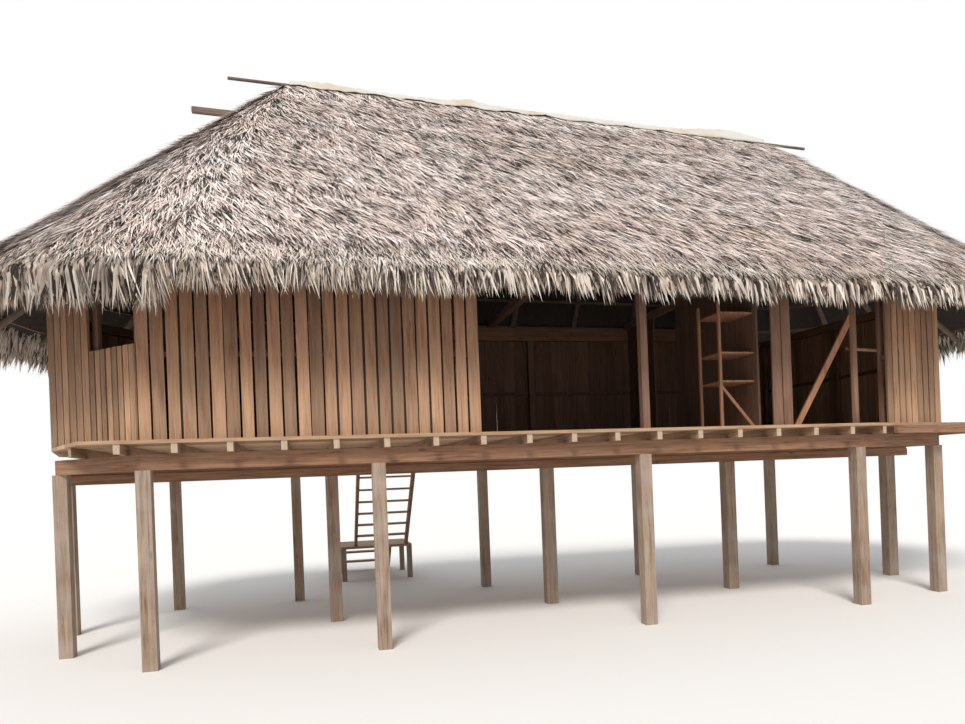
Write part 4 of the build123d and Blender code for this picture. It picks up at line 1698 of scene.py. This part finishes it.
DECK_PLANK = TimberFinish(
    "deck_plank",
    (0.56, 0.35, 0.20),
    (0.32, 0.17, 0.09),
    (0.42, 0.34, 0.27),
    Grain.X,
    weather=0.35,
    tone_spread=0.5,
)
# Darker than the outer boards: painted shade for the walls, rails and partition inside the house.
SHADED_INNER_BOARD = TimberFinish(
    "inner_board", (0.24, 0.12, 0.07), (0.10, 0.048, 0.028), (0.22, 0.15, 0.11), Grain.Z, tone_spread=0.5
)
WALL_BOARD = TimberFinish(
    "wall_board",
    (0.33, 0.165, 0.085),
    (0.15, 0.065, 0.035),
    (0.31, 0.21, 0.14),
    Grain.Z,
    tone_spread=0.75,
    bleach_and_light=(0.43, 0.27, 0.165),
)
END_BOARD = TimberFinish(
    "end_board",
    (0.43, 0.23, 0.125),
    (0.19, 0.085, 0.042),
    (0.40, 0.28, 0.19),
    Grain.Z,
    weather=0.25,
    tone_spread=0.7,
    bleach_and_light=(0.55, 0.35, 0.21),
)

FRAME_FINISHES = (
    (POST_WOOD, "front_posts middle_posts rear_posts corner_posts landing_posts king_posts"),
    (UPRIGHT_WOOD, "corner_uprights front_uprights rear_uprights end_uprights"),
    (GIRDER_X, "front_beam rear_beam middle_beam middle_bolster front_plate rear_plate hanging_rail"),
    (GIRDER_RUN, "left_end_beams right_end_beams left_end_plates right_end_plates tie_beams edge_plank"),
    (GIRDER_RUN, "upper_stair_stringers lower_stair_stringers"),
    (JOIST_WOOD, "joists"),
    (SHADED_INNER_BOARD, "wall_rails"),
    (POLE_WOOD, "ridge_pole side_rafters end_rafters side_battens end_battens cap_poles"),
    (SHELF_WOOD, "shelf_frame front_brace shelves"),
    (DECK_PLANK, "landing upper_stair_treads lower_stair_treads"),
)

WALLS = (
    (BoardWall("front_wall", seed=2, shade_strip_joints=(3, *range(14, 22))), WALL_BOARD),
    (BoardWall("front_panel", pitch=0.125, gap=0.010, seed=3), SHADED_INNER_BOARD),
    (BoardWall("right_front_wall", pitch=0.112, gap=0.017, seed=4), END_BOARD),
    (BoardWall("right_wall", pitch=0.140, gap=0.003, seed=5), END_BOARD),
    (BoardWall("left_rear_wall", pitch=0.140, gap=0.003, seed=6), END_BOARD),
    (BoardWall("left_wall", pitch=0.130, gap=0.006, seed=7), END_BOARD),
    (BoardWall("left_front_wall", pitch=0.110, gap=0.018, seed=8), END_BOARD),
    (BoardWall("window_apron", pitch=0.085, gap=0.017, seed=9, uneven_top=0.01), END_BOARD),
    (BoardWall("rear_wall_right", pitch=0.150, gap=0.002, seed=10), SHADED_INNER_BOARD),
    (BoardWall("rear_wall_left", pitch=0.150, gap=0.002, seed=11), SHADED_INNER_BOARD),
)


class Finishes:
    """The timber materials, each of which is built once."""

    def __init__(self) -> None:
        """Starts with none."""
        self.built: dict[str, Material] = {}

    def material(self, finish: TimberFinish) -> Material:
        """A finish's material, built at its first use.

        Args:
            finish: The finish.

        Returns:
            The material.
        """
        if finish.name not in self.built:
            self.built[finish.name] = finish.build()
        return self.built[finish.name]


def dress_frame(finishes: Finishes) -> None:
    """Gives the CAD nodes that stay their finishes.

    Args:
        finishes: The timber materials.
    """
    for finish, nodes in FRAME_FINISHES:
        for node in nodes.split():
            dress(node, finishes.material(finish))


def build_walls(finishes: Finishes) -> None:
    """Makes the boards of every wall.

    Args:
        finishes: The timber materials.
    """
    for wall, finish in WALLS:
        stands_for(wall.build(finishes.material(finish)), "board_timber", wall.node)
    dress("partition", finishes.material(SHADED_INNER_BOARD))


def main() -> None:
    """Builds the house piece by piece."""
    finishes = Finishes()
    Studio().build()
    dress_frame(finishes)
    Thatch().build(LeafFinish().build(), ThatchBedFinish().build())
    build_walls(finishes)
    stands_for(Deck().build(finishes.material(DECK_PLANK)), "pale_timber", "deck")
    stands_for(RidgeSheet().build(RidgeSheetFinish().build()), "ridge_sheet", "ridge_cover")


if __name__ == "__main__":
    logging.basicConfig(level=logging.INFO)
    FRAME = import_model()
    NODES = FRAME["nodes"]
    CAD_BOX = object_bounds()
    HOUSE_MIDDLE = Vector((sum(c[0] for c in CAD_BOX) / 2, RIDGE_Y, 0.0))
    main()
